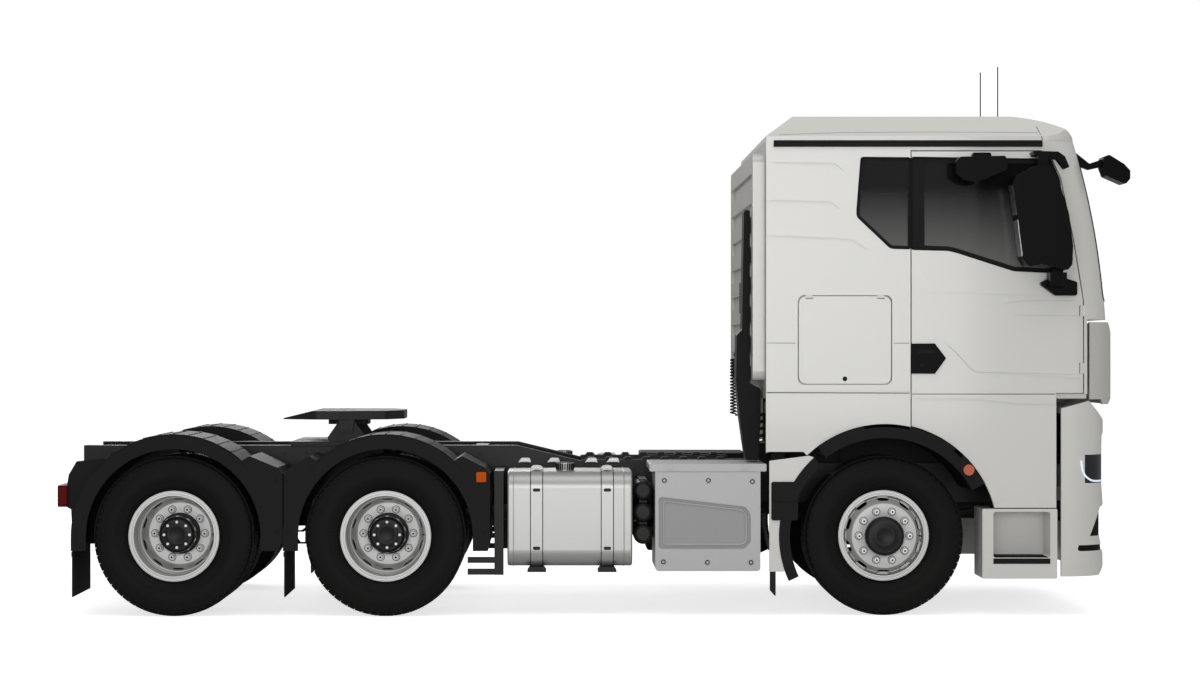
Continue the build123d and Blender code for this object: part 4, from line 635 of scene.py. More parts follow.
for hand, sign in hands.items():
    seams = [tube([(x, y, z) for y, z in tank_loop(sign, 0.0)], 0.0035, closed=True) for x in (-0.553, 0.179)]
    build(f"tank_seams_{hand}", seams, tank_metal, "chassis")
    feet, buckles = [], []
    for strap_x in (-0.4, 0.068):
        for edge_x in (strap_x - strap_half, strap_x + strap_half - 0.0052):
            feet.append(tank_band(sign, edge_x, edge_x + 0.0052, 0.0003, 0.004))
        feet.append(prism([(strap_x - 0.065, 0.29), (strap_x + 0.065, 0.29), (strap_x + 0.04, 0.326),
                           (strap_x - 0.04, 0.326)], sign * 0.95, sign * 1.195, 0.004))
        for slot_z in (0.835, 0.45):
            slot = [(strap_x + along, slot_z + up)
                    for along, up in ((-0.024, -0.011), (0.024, -0.011), (0.024, 0.011), (-0.024, 0.011))]
            feet.append(prism(rounded(slot, 0.01), sign * 1.215, sign * 1.2158))
        buckles.append(brick((strap_x - 0.034, sign * 1.01, 0.9636), (strap_x + 0.034, sign * 1.09, 0.99),
                             0.006))
        buckles.append(tube([(strap_x, sign * 0.965, 0.981), (strap_x, sign * 1.135, 0.981)], 0.008))
        for edge in (1.0, 1.12):
            buckles.append(brick((strap_x - 0.016, sign * edge - 0.011, 0.972),
                                 (strap_x + 0.016, sign * edge + 0.011, 0.991), 0.003))
    ribs = repeated(brick((0.0575, -0.0045, 0.962), (0.0615, 0.0045, 1.004), 0.001, 1), 24,
                    (cap_x, sign * cap_y, 0.0), (0, 0, 0), black_plastic, turn_step=(0, 0, math.pi / 12))
    lid = tube([(cap_x, sign * cap_y, 1.0102), (cap_x, sign * cap_y, 1.0125)], 0.05, sides=6)
    build(f"tank_cap_{hand}", [ribs, lid], black_plastic, "chassis")
    build(f"strap_buckles_{hand}", buckles, strap_metal, "chassis")
    build(f"tank_feet_{hand}", feet, frame_black, "chassis")

# Silver box: the silencer housing beside the frame, folded from coated sheet.
# Six cup screws hold its face; the floor of the pressed panel's recess is painted darker, as painted shade.
box_silver = finish("box_coating", (0.4, 0.405, 0.4), 0.42, metallic=0.2, dust=0.08,
                    dust_top=0.7, grain=400, depth=0.04)
# A darker copy of the box coating: painted shade for the floor of the pressed recess.
recess_painted_shade = finish("box_recess_painted_shade", (0.29, 0.295, 0.29), 0.5, metallic=0.2, dust=0.1,
                     dust_top=0.7, grain=400, depth=0.04)
dress(box_silver, "silencer_box")


def placed(points):
    return [(x / 1000 + front_axle_x, z / 1000) for x, z in points]


def edge_loop(line, corner, y, radius):
    return tube([(x, y, z) for x, z in rounded(line, corner)], radius, closed=True)


def lining(name, node, test, material, body, lift=0.0005):
    form = bmesh.new()
    form.from_mesh(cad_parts[node].data)
    bmesh.ops.remove_doubles(form, verts=form.verts, dist=0.00001)
    unwanted = [face for face in form.faces if not test(face.calc_center_median(), face.normal)]
    bmesh.ops.delete(form, geom=unwanted, context="FACES")
    for vert in form.verts:
        vert.co += vert.normal * lift
    mesh = bpy.data.meshes.new(name)
    form.to_mesh(mesh)
    form.free()
    return show(name, mesh, material, body)


def in_box_panel(centre, normal):
    return abs(centre.y + 1.203) < 0.0006 and normal.y < -0.9 and 0.4 < centre.z < 0.82


box_face = 1.215
screws, cups = [], []
for x, z in placed(((-1457, 898), (-1166, 898), (-875, 891), (-1464, 360), (-1173, 357), (-884, 356))):
    cups.append(turned([(1.2145, 0.0), (1.2154, 0.0165), (1.2145, 0.017)], -1, (x, 0, z), 20))
    screws.append(turned([(box_face, 0.021), (1.2175, 0.02), (1.2175, 0.0165), (box_face, 0.0155)], -1,
                         (x, 0, z), 20))
    screws.append(turned([(box_face, 0.0085), (1.219, 0.0075), (1.219, 0.0)], -1, (x, 0, z), 6))
build("box_cups", cups, frame_black, "chassis")
panel_line = placed(((-1462, 762), (-940, 702), (-914, 662), (-914, 496), (-944, 474), (-1462, 474)))
recess_line = placed(((-1494, 791), (-920, 725), (-887, 672), (-887, 487), (-930, 447), (-1494, 447)))
screws.append(edge_loop(panel_line, 0.02, -1.2038, 0.008))
screws.append(edge_loop(recess_line, 0.025, -1.2148, 0.0022))
screws.append(tube([(x, -box_face, 0.956) for x in (0.4, 1.068)], 0.0022))
screws += [brick((x - 0.02, -1.2275, 0.972), (x + 0.02, -1.223, 0.998), 0.003) for x in (0.48, 0.98)]
build("box_trim", screws, box_silver, "chassis")
# Lays the darker copy over the recess floor as painted shade.
lining("box_panel", "silencer_box", in_box_panel, recess_painted_shade, "chassis")

# Battery box: the left side's cover over the batteries, moulded in black plastic.
# Upright ribs stiffen its outer face, and two straps hold the lid.
dress(black_plastic, "battery_box")
rib_bar = brick((-0.006, 1.2145, 0.34), (0.006, 1.2205, 0.9), 0.0025, 1)
battery_bits = [repeated(rib_bar, 12, (0.434, 0, 0), (0.055, 0, 0), black_plastic)]
battery_bits += [brick((x - 0.016, 1.2145, 0.7), (x + 0.016, 1.224, 0.99), 0.003) for x in (0.52, 0.95)]
build("battery_box_ribs", battery_bits, black_plastic, "chassis")

# Rear fenders and mud flaps: moulded plastic arches on tube stays, with ribbed rubber flaps.
# Steel clamp bars and flat screws hold the flaps at their top edge.
orange_lens = finish("orange_lens", (0.5, 0.075, 0.002), 0.25, dust=0.0, depth=0.0, shine=0.05)
flap_rubber = finish("flap_rubber", (0.007, 0.007, 0.007), 0.62, dust=0.15, dust_top=0.5, shine=0.16)
dress(black_plastic, "rear_fenders")
dress(orange_lens, "side_markers")
dress(flap_rubber, "mud_flaps")
flap_inner, flap_outer, flap_top = 0.6, 1.24, 0.434
screw_head = [(1.25, 0.013), (1.2515, 0.012), (1.253, 0.008), (1.253, 0.0)]
flap_bits, fender_bits = [], []
for sign in (-1, 1):
    for flap_x in (-3.468, -2.067):
        flap_face = flap_x - 0.0002
        rib = brick((flap_face - 0.003, -0.003, 0.16), (flap_face, 0.003, flap_top - 0.055), 0.0008, 1)
        flap_bits.append(repeated(rib, 30, (0, sign * (flap_inner + 0.03), 0), (0, sign * 0.02, 0),
                                  flap_rubber))
        flap_bits.append(brick((flap_x - 0.006, sign * (flap_inner + 0.01), flap_top - 0.04),
                               (flap_face, sign * (flap_outer - 0.01), flap_top - 0.008), 0.001, 1))
        first_bolt = (flap_x - 0.006, sign * (flap_inner + 0.07), flap_top - 0.024)
        flap_bits.append(repeated(bolt(0.007, 0.006), 6, first_bolt, (0, sign * 0.1, 0), flap_rubber,
                                  turn=(0, -math.pi / 2, 0)))
    for screw_x in (-2.05, -0.745, -2.115):
        for screw_z in (0.9, 0.56):
            fender_bits.append(turned(screw_head, sign, (screw_x, 0, screw_z), 14))
    for middle in (mid_axle_x, rear_axle_x):
        rib = brick((-0.004, sign * 0.6, 0.6745), (0.004, sign * 1.23, 0.6785), 0.001, 1)
        fender_bits.append(repeated(rib, 15, (middle, 0, 0.532), (0, 0, 0), black_plastic,
                                    turn=(0, -1.05, 0), turn_step=(0, 0.15, 0)))
build("flap_clamps", flap_bits, flap_rubber, "chassis")
build("fender_ribs", fender_bits, black_plastic, "chassis")

# Rear lamps: three-chamber lamps on folded plates at the ends of the frame.
# The lenses are clear-coated acrylic over ribbed reflectors; the number plate is blank white sheet.
# The turn lenses wear the plain orange that the solids bring along, not the lens finish.
red_lens = finish("red_lens", (0.1, 0.002, 0.003), 0.25, dust=0.0, depth=0.0, shine=0.06)
clear_lens = finish("clear_lens", (0.55, 0.56, 0.57), 0.15, coat=0.6, dust=0.0)
plate_white = finish("plate_white", (0.7, 0.7, 0.69), 0.35, dust=0.1)
dress(red_lens, "rear_lamps")
lamp_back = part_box("rear_lamps")[0][0]
frame_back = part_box("frame")[0][0]
bracket = placed([(-5165, 1045), (-5348, 1024), (-5400, 936), (-5412, 865), (-5412, 720), (-5385, 705)])
fender_radius = 0.678
for degrees in range(178, 132, -5):
    turn = math.radians(degrees)
    bracket.append((rear_axle_x + fender_radius * math.cos(turn),
                    axle_height + fender_radius * math.sin(turn)))
lamp_rim, amber_parts, clear_parts, red_ribs = [], [], [], []
for sign in (-1, 1):
    rim_lines = [((0.915, z), (1.222, z)) for z in (0.7275, 0.8625)]
    rim_lines += [((y, 0.735), (y, 0.855)) for y in (0.905, 1.005, 1.13, 1.2305)]
    for line in rim_lines:
        lamp_rim.append(tube([(lamp_back + 0.004, sign * y, z) for y, z in line], 0.0055))
    for parts, first, last in ((clear_parts, 0.912, 0.999), (amber_parts, 1.136, 1.225)):
        parts.append(brick((lamp_back - 0.0006, sign * first, 0.735), (lamp_back + 0.002, sign * last, 0.855),
                           0.0004, 1))
    lens_rib = brick((lamp_back - 0.001, -0.002, 0.737), (lamp_back + 0.001, 0.002, 0.853), 0.0)
    red_ribs.append(repeated(lens_rib, 30, (0, sign * 0.916, 0), (0, sign * 0.0106, 0), red_lens))
    lamp_rim.append(prism(bracket, sign * 1.185, sign * 1.191, 0.0015, 1))
build("rear_lamp_rims", lamp_rim, black_plastic, "chassis")
build("rear_lamp_ribs", red_ribs, red_lens, "chassis", smooth=False)
plain_orange = bpy.data.materials["orange_lens"]
build("rear_turn_lenses", amber_parts, plain_orange, "chassis")
build("reversing_lenses", clear_parts, clear_lens, "chassis")
rear_plate = brick((frame_back - 0.003, -0.26, 0.8), (frame_back - 0.0004, 0.26, 0.91), 0.001, 1)
build("rear_number_plate", [rear_plate], plate_white, "chassis")

# Front bumper: a moulded shell in body paint with dark pockets at its corners.
# A fine black mesh closes the middle intake, and a groove splits the lower valance from the shell.
white_paint = finish("white_paint", (0.625, 0.62, 0.585), 0.3, coat=0.35, dust=0.05, dust_top=1.4,
                     depth=0.02)
bumper_paint = finish("bumper_paint", (0.62, 0.615, 0.58), 0.34, coat=0.2, dust=0.12,
                      dust_top=1.0, depth=0.04)
pocket_black = finish("pocket_black", (0.004, 0.004, 0.004), 0.6, dust=0.03, shine=0.12)
dress(bumper_paint, "front_bumper")
corner_x, corner_y = 3.139, 0.97


def in_corner_pocket(centre, normal):
    side, front = abs(centre.y) - corner_y, centre.x - corner_x
    if side > 0 and front > 0:
        depth = 0.25 - math.hypot(side, front)
    else:
        depth = min(1.22 - abs(centre.y), 3.389 - centre.x)
    outward = normal.y * centre.y > -0.01
    return abs(centre.y) > 0.7 and 0.42 < centre.z < 0.73 and 0.015 < depth < 0.0172 and outward


lining("bumper_pockets", "front_bumper", in_corner_pocket, pocket_black, "chassis")
mesh_bars = [
    repeated(brick((3.331, -0.556, -0.0016), (3.334, 0.556, 0.0016), 0.0), 9, (0, 0, 0.555), (0, 0, 0.015),
             pocket_black),
    repeated(brick((3.334, -0.0016, 0.542), (3.337, 0.0016, 0.688), 0.0), 56, (0, -0.55, 0), (0, 0.02, 0),
             pocket_black),
    brick((3.322, -0.556, 0.542), (3.326, 0.556, 0.688), 0.0),
]
build("bumper_mesh", mesh_bars, pocket_black, "chassis", smooth=False)
build("front_number_plate", [brick((3.3435, -0.26, 0.735), (3.3455, 0.26, 0.845), 0.0005, 1)], plate_white,
      "chassis")

# Headlamps: clear covers over dark housings, set flush in the bumper's corners.
# Two projector bowls stand inside, and a bright light bar runs round the corner.
lamp_cover = finish("lamp_cover", (0.012, 0.013, 0.015), 0.1, coat=0.3, dust=0.0, depth=0.0,
                    shine=0.3)
dress(lamp_cover, "headlamps")
light_bar = bpy.data.materials.new("light_bar")
light_bar.use_nodes = True
bar_shader = light_bar.node_tree.nodes["Principled BSDF"]
bar_shader.inputs["Base Color"].default_value = (0.8, 0.88, 1.0, 1.0)
bar_shader.inputs["Roughness"].default_value = 0.2
bar_shader.inputs["Emission Color"].default_value = (0.72, 0.84, 1.0, 1.0)
bar_shader.inputs["Emission Strength"].default_value = 0.35
strip = placed(((1299, 1030), (1302, 1000), (1309, 965), (1320, 940), (1335, 921), (1352, 908), (1372, 898),
                (1392, 893), (1412, 892), (1430, 892), (1446, 892), (1456, 892)))
bowl = [(3.3615, 0.052), (3.3635, 0.049), (3.3625, 0.044), (3.3605, 0.03), (3.3605, 0.0)]
bars, bowls = [], []
for sign in (-1, 1):
    bar = [(x, sign * (corner_y + math.sqrt(0.2515 ** 2 - max(0.0, x - corner_x) ** 2)), z) for x, z in strip]
    bar += [(3.361, sign * 1.05, 0.892), (3.361, sign * 0.8, 0.892)]
    bars.append(tube(bar, 0.0065))
    for bowl_y in (0.855, 0.985):
        verts = []
        for step in range(36):
            turn = 2 * math.pi * step / 36
            verts += [(x, sign * bowl_y + r * math.cos(turn), 0.985 + r * math.sin(turn)) for x, r in bowl]
        faces = [(s * 5 + i, s * 5 + i + 1, (s + 1) % 36 * 5 + i + 1, (s + 1) % 36 * 5 + i)
                 for s in range(36) for i in range(4)]
        bowls.append(plain_mesh(verts, faces))
build("light_bars", bars, light_bar, "chassis")
build("lamp_bowls", bowls, clear_lens, "chassis")

# Entry steps and front mudguards: white moulded steps and panels beside the front wheels.
# The guards and the ribbed treads are black plastic, screwed on from behind.
dress(black_plastic, "front_mudguards")
dress(white_paint, "entry_steps", "mudguard_panels")
treads = []
for sign in (-1, 1):
    for tread_z, first, last in ((0.3885, 0.88, 1.215), (0.7118, 0.9, 1.21)):
        low_y, high_y = sorted((sign * first, sign * last))
        rib = brick((2.63, -0.003, tread_z - 0.0005), (2.985, 0.003, tread_z + 0.003), 0.001, 1)
        treads.append(repeated(rib, 16, (0, low_y + 0.012, 0), (0, (high_y - low_y - 0.02) / 15, 0),
                               black_plastic))
    treads.append(brick((2.619, sign * 1.2195, 0.347), (2.996, sign * 1.2225, 0.383), 0.001, 1))
    tooth = brick((-0.003, sign * 1.2225, 0.35), (0.003, sign * 1.224, 0.38), 0.0)
    treads.append(repeated(tooth, 30, (2.63, 0, 0), (0.0122, 0, 0), pocket_black))
build("step_treads", treads, black_plastic, "chassis")

# Cab shell and roof: pressed steel panels welded up and painted white, with seams filled.
# Roof and side panels share one paint; the panel gap under the roof carries a dark rubber strip.
seal_black = finish("seal_rubber", (0.005, 0.005, 0.005), 0.5, dust=0.02, dust_top=1.4,
                    shine=0.12)
# The rear wall's paint is a darker copy of the body white: painted shade for a wall turned away from the
# light, with a film of road dust on it.
rear_shade_and_dust = finish("rear_wall_dust_and_shade", (0.36, 0.355, 0.335), 0.5, dust=0.35, dust_top=3.4,
                    depth=0.1)
dress(white_paint, "cab_shell", "cab_roof")
dress(seal_black, "cab_trim")


def spaced(points, spacing):
    drawn = []
    for (x0, z0), (x1, z1) in zip(points, points[1:]):
        steps = max(1, round(math.hypot(x1 - x0, z1 - z0) / spacing))
        drawn += [(x0 + (x1 - x0) * s / steps, z0 + (z1 - z0) * s / steps) for s in range(steps)]
    return drawn


def draped(node, points, sign, lift, spacing=0.03):
    skin = surface(node)
    laid = []
    for x, z in spaced(points, spacing) + [points[-1]]:
        hit = side_hit(skin, x, z, sign)
        if hit is not None:
            laid.append((x, hit.y + sign * lift, z))
    return laid


def faces_rearward(centre, normal):
    return normal.x < -0.5 and centre.x < 1.15 and 1.45 < centre.z < 3.15 and abs(centre.y) < 1.19


seam_lines = []
for node, line, lift, spacing, radius in (
    ("cab_roof", ((1018, 3243), (1036, 3172), (1050, 3128)), 0.0, 0.03, 0.0022),
    ("cab_roof", ((-700, 3185), (-300, 3200), (300, 3205), (1018, 3200)), -0.0004, 0.03, 0.0014),
    ("cab_shell", ((-781, 1479), (163, 1476)), 0.0002, 0.1, 0.0026),
    ("cab_shell", ((-781, 1807), (-590, 1806)), 0.0, 0.1, 0.0012),
    ("cab_shell", ((60, 1805), (163, 1805)), 0.0, 0.1, 0.0012),
):
    seam_lines += [tube(draped(node, placed(line), sign, lift, spacing), radius) for sign in (-1, 1)]
build("roof_seams", seam_lines, seal_black, "cab")
# Lays the darker copy over the rear wall as painted shade and road dust.
lining("rear_wall", "cab_shell", faces_rearward, rear_shade_and_dust, "cab", lift=0.0006)
vent_bar = brick((1.0315, -0.14, -0.006), (1.035, 0.14, 0.006), 0.002, 1)
vent_bits = [brick((1.0345, -0.16, 2.02), (1.0375, 0.16, 2.24), 0.001, 1)]
vent_bits.append(repeated(vent_bar, 8, (0, 0, 2.04), (0, 0, 0.0257), seal_black))
build("cab_vent", vent_bits, seal_black, "cab")

# Trailer lines: three coiled air and electric hoses parked on the rear wall of the cab.
# Each is a springy nylon coil whose two ends are screwed to a steel holder on the wall.
hose_red = finish("hose_red", (0.2, 0.012, 0.01), 0.4, dust=0.05, shine=0.3)
hose_yellow = finish("hose_yellow", (0.45, 0.28, 0.01), 0.4, dust=0.05, shine=0.3)
for label, coil_y, colour in (("red", -0.44, hose_red), ("yellow", -0.33, hose_yellow),
                              ("black", 0.33, seal_black)):
    path = [(1.022, coil_y, 1.285)] + helix(1.003, coil_y, 0.02, 1.3, 0.4, 18, 16)
    path += [(1.008, coil_y, 1.725), (1.022, coil_y, 1.75)]
    line_bits = [tube(path, 0.0055, sides=2)]
    if label == "black":
        for low_z, high_z in ((1.735, 1.775), (1.56, 1.58)):
            for low_y, high_y in ((-0.5, -0.27), (0.27, 0.39)):
                line_bits.append(brick((1.016, low_y, low_z), (1.036, high_y, high_z), 0.004))
    build(f"trailer_line_{label}", line_bits, colour, "cab")

# Lining: grey fabric and moulded panels over the inside of walls, floor and roof.
# They are clipped to the steel, and each door has a dark card with an arm rest.
trim_grey = finish("trim_grey", (0.1, 0.1, 0.105), 0.75, dust=0.0, grain=900, depth=0.4,
                   shine=0.25)


def faces_inward(centre, normal):
    inside = 1.15 < centre.x < 3.3 and abs(centre.y) < 1.186 and 1.49 < centre.z < 3.3
    return inside and normal.dot(Vector((2.2, 0.0, 2.3)) - centre) > 0.0


lining("cab_lining", "cab_shell", faces_inward, trim_grey, "cab", lift=0.0008)
lining("roof_lining", "cab_roof", faces_inward, trim_grey, "cab", lift=0.0008)
card_parts = (
    # outline, corner radius, inner face, outer face, rounding of the edges
    (((215, 1530), (840, 1530), (862, 1700), (850, 2210), (480, 2330), (215, 2345)),
     0.03, 1.14, 1.156, 0.004),
    (((260, 1985), (780, 1985), (800, 2035), (260, 2045)), 0.015, 1.09, 1.142, 0.008),
    (((300, 2140), (470, 2120), (478, 2150), (308, 2175)), 0.01, 1.125, 1.142, 0.004),
)
for hand, sign in hands.items():
    parts = [prism(rounded(placed(line), corner), sign * inner, sign * outer, soft)
             for line, corner, inner, outer, soft in card_parts]
    build(f"door_card_{hand}", parts, trim_grey, f"door_{hand}")

# Glass: bonded windscreen, door and quarter windows in grey tinted safety glass.
# A black ceramic band hides the glue round each edge; the glass is painted paler at the foot and darker
# towards the roof, as painted light and shade.
# Pale grey at the foot to near black at the roof: painted light and shade on the glass.
shade_tree, shade_in, shade_out = group_tree(
    "glass_painted_light",
    [("Top", "NodeSocketFloat", 2.84), ("Foot", "NodeSocketFloat", 2.28)],
    [("Color", "NodeSocketColor"), ("Alpha", "NodeSocketFloat")],
)
shade_place = add_node(shade_tree, "ShaderNodeTexCoord")
shade_axes = add_node(shade_tree, "ShaderNodeSeparateXYZ")
shade_fall = add_node(shade_tree, "ShaderNodeMapRange")
shade_mix = add_node(shade_tree, "ShaderNodeMix",
                     {"A": (0.17, 0.17, 0.166, 1.0), "B": (0.006, 0.006, 0.0065, 1.0)}, data_type="RGBA")
shade_alpha = add_node(shade_tree, "ShaderNodeMapRange", {"To Min": 0.9, "To Max": 0.95})
wire(
    shade_tree,
    (shade_place, "Object", shade_axes, "Vector"),
    (shade_axes, "Z", shade_fall, "Value"),
    (shade_in, "Foot", shade_fall, "From Min"),
    (shade_in, "Top", shade_fall, "From Max"),
    (shade_fall, "Result", shade_mix, "Factor"),
    (shade_fall, "Result", shade_alpha, "Value"),
    (shade_mix, "Result", shade_out, "Color"),
    (shade_alpha, "Result", shade_out, "Alpha"),
)
window_glass = bpy.data.materials.new("window_glass")
window_glass.use_nodes = True
glass_shader = window_glass.node_tree.nodes["Principled BSDF"]
glass_shader.inputs["Roughness"].default_value = 0.03
glass_shader.inputs["Specular IOR Level"].default_value = 0.025
painted_glass_light = add_node(window_glass.node_tree, "ShaderNodeGroup", node_tree=shade_tree)
wire(window_glass.node_tree, (painted_glass_light, "Color", glass_shader, "Base Color"),
     (painted_glass_light, "Alpha", glass_shader, "Alpha"))
dress(window_glass, "cab_glass", "door_glass_right", "door_glass_left")


def flat_ring(outer, inner, y, thick, sign):
    count = len(outer)
    verts = []
    for level in (y, y + thick):
        verts += [(x, sign * level, z) for x, z in outer + inner]
    faces = []
    for i in range(count):
        j = (i + 1) % count
        faces += [(i, j, count + j, count + i), (2 * count + i, 2 * count + j, 3 * count + j, 3 * count + i),
                  (i, j, 2 * count + j, 2 * count + i), (count + i, count + j, 3 * count + j, 3 * count + i)]
    return plain_mesh(verts, faces)


quarter = placed(((-157, 3034), (170, 3031), (170, 2430), (38, 2434), (-182, 2642), (-185, 2678)))
quarter_inner = placed(((-138, 3015), (152, 3012), (152, 2449), (45, 2453), (-164, 2650), (-166, 2680)))
quarter_seals = []
for sign in (-1, 1):
    quarter_seals.append(flat_ring(quarter, quarter_inner, 1.2104, 0.0012, sign))
    quarter_seals.append(edge_loop(quarter, 0.018, sign * 1.2195, 0.0045))
build("quarter_seals", quarter_seals, seal_black, "cab")
screen = surface("cab_glass")


def screen_point(y, z, lift):
    hit = screen.ray_cast(Vector((6.0, y, z)), Vector((-1, 0, 0)))[0]
    return hit and (hit.x + lift, y, z)


screen_line = rounded([(-1.076, 2.089), (1.076, 2.089), (1.032, 3.061), (-1.032, 3.061)], 0.066, 6)
screen_path = spaced(screen_line + screen_line[:1], 0.05)
screen_middle = 2.575
frit = [screen_point(y * (1 - shrink), screen_middle + (z - screen_middle) * (1 - shrink * 2.2), 0.0008)
        for shrink in (0.0, 0.03) for y, z in screen_path]
count = len(screen_path)
frit_mesh = plain_mesh(frit, [(i, (i + 1) % count, count + (i + 1) % count, count + i) for i in range(count)])
frit_form = bmesh.new()
frit_form.from_mesh(frit_mesh)
bmesh.ops.solidify(frit_form, geom=frit_form.faces[:], thickness=0.0006)
frit_form.to_mesh(frit_mesh)
frit_form.free()
screen_seal = tube([screen_point(y, z, 0.0) for y, z in screen_path], 0.006, closed=True)
build("screen_frit", [frit_mesh, screen_seal], seal_black, "cab")
wipers = []
for pivot_y, tip_y in ((-0.82, -0.12), (-0.02, 0.72)):
    blade = [screen_point(pivot_y + (tip_y - pivot_y) * s / 12 + 0.05, 2.155 + 0.02 * s / 12, 0.01)
             for s in range(13)]
    arm_end = screen_point((pivot_y + tip_y) / 2 + 0.05, 2.165, 0.024)
    foot_x = screen_point(pivot_y, 2.1, 0.012)[0]
    wipers.append(tube(blade, 0.006))
    wipers.append(tube([(foot_x, pivot_y, 2.1), (foot_x + 0.012, pivot_y + 0.03, 2.115), arm_end], 0.007))
    wipers.append(tube([(foot_x - 0.01, pivot_y, 2.1), (foot_x + 0.012, pivot_y, 2.1)], 0.018))
build("wipers", wipers, black_plastic, "cab")

# Doors: hinged steel skins in body paint with a rubber-sealed window and a dark handle pocket.
# A pull bar and lock barrel sit in the pocket; mirror arms and housings are black plastic.
mirror_face = finish("mirror_face", (0.75, 0.77, 0.78), 0.04, metallic=1.0, dust=0.0, depth=0.0)
fitting_black = finish("fitting_black", (0.003, 0.003, 0.003), 0.32, dust=0.0, grain=700,
                       depth=0.1, shine=0.05)
dress(fitting_black, "ramp_mirror")
window_line = placed(((176, 3034), (1094, 3021), (1153, 2889), (1216, 2375), (1104, 2274), (853, 2286),
                      (473, 2408), (420, 2421), (176, 2427)))
seal_line = placed(((262, 2995), (1080, 2995), (1128, 2884), (1186, 2386), (1098, 2300), (860, 2312),
                    (482, 2432), (424, 2446), (264, 2452)))
pull_bar = rounded(placed(((215, 1735), (215, 1765), (318, 1765), (336, 1742), (318, 1735))), 0.008)
crease_lines = [placed(line) for line in (
    ((420, 1786), (468, 1752), (560, 1640), (600, 1617), (1270, 1600)),
    ((770, 2066), (900, 2084), (1270, 2086)),
    ((860, 1992), (1270, 1986)),
)]
pocket_face = 1.2302
for hand, sign in hands.items():
    body = f"door_{hand}"
    dress(white_paint, body)
    dress(fitting_black, f"door_fittings_{hand}")
    glass_face = max(abs(corner[1]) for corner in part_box(f"door_glass_{hand}"))
    lock_barrel = [(pocket_face, 0.014), (1.233, 0.013), (1.233, 0.006), (1.2315, 0.0)]
    seals = [
        flat_ring(window_line, seal_line, glass_face + 0.0003, 0.0012, sign),
        edge_loop(window_line, 0.02, sign * 1.219, 0.0055),
        prism(pull_bar, sign * pocket_face, sign * 1.2345, 0.002, 1),
        turned(lock_barrel, sign, (front_axle_x + 0.24, 0, 1.66), 20),
        tube(draped(body, placed(((180, 1470), (1125, 1470))), sign, 0.0, 0.1), 0.0022),
    ]
    build(f"door_seals_{hand}", seals, seal_black, body)
    creases = [tube(draped(body, line, sign, -0.0014), 0.0034) for line in crease_lines]
    build(f"door_creases_{hand}", creases, white_paint, body)
    glasses = []
    for line in (((832, 2610), (861, 2372)), ((800, 2838), (830, 2640))):
        (top_x, top_z), (foot_x, foot_z) = placed(line)
        glasses.append(prism([(top_x - 0.0035, top_z), (top_x + 0.003, top_z), (foot_x + 0.003, foot_z),
                              (foot_x - 0.0035, foot_z)], sign * 1.33, sign * 1.49, 0.001, 1))
    build(f"mirror_glass_{hand}", glasses, mirror_face, body)

# Locker flaps: outside lids behind the doors, in body paint, with a press lock each.
# A dark seal shows round the edge of the lid.
for hand, sign in hands.items():
    dress(white_paint, f"locker_flap_{hand}")
    lock = turned([(1.2195, 0.016), (1.2225, 0.015), (1.2225, 0.008), (1.221, 0.0)], sign,
                  (front_axle_x - 0.264, 0, 1.57), 20)
    build(f"locker_lock_{hand}", [lock], seal_black, f"locker_flap_{hand}")

# Front flap: the lid below the windscreen, in body paint, with four dark air slots.
# Thin bars stand in the slots.
flap_paint = finish("flap_paint", (0.49, 0.485, 0.455), 0.32, coat=0.3, dust=0.05,
                    dust_top=1.4, depth=0.02)
dress(flap_paint, "front_flap")
slot_parts = []
for slot_z in (1.52, 1.61, 1.7, 1.79):
    low_z, high_z = slot_z - 0.0205, slot_z + 0.0205
    slot_parts.append(brick((3.4222, -0.806, low_z), (3.4236, 0.806, high_z), 0.0))
    slot_parts.append(repeated(brick((3.4236, -0.003, low_z), (3.431, 0.003, high_z), 0.001, 1), 40,
                               (0, -0.78, 0), (0, 0.04, 0), pocket_black))
build("flap_slots", slot_parts, pocket_black, "front_flap")

# Wheel arches: black plastic trims bolted under the cab's edge, with a round marker lamp each.
# The lamp is an amber reflector under a clear ribbed disc.
dress(black_plastic, "wheel_arches")
dress(plain_orange, "arch_lamps")
lamp_ring = [(1.2395, 0.0405), (1.2425, 0.0385), (1.2425, 0.0345), (1.24, 0.0335)]
arch_rings = [turned(lamp_ring, sign, (front_axle_x + 0.551, 0, 0.969), 32) for sign in (-1, 1)]
build("arch_lamp_rings", arch_rings, seal_black, "cab")

# Antennas and air intake: thin rods on rubber feet, and a moulded duct up the rear wall.
# Both are black plastic; the duct's head takes in air through a row of ribs.
dress(black_plastic, "antennas", "air_intake")

# Inside: dashboard, steering wheel, seats and bunk, seen dimly through the glass.
# Dark soft plastic, a leather-grained wheel, and woven cushions with sewn seams.
dash_plastic = finish("dash_plastic", (0.016, 0.016, 0.018), 0.6, dust=0.0, grain=900, depth=0.4, shine=0.3)
seat_fabric = finish("seat_fabric", (0.045, 0.047, 0.052), 0.85, dust=0.0, grain=1400, depth=0.8)
dress(dash_plastic, "dashboard", "steering_wheel")
dress(seat_fabric, "seats", "bunk")


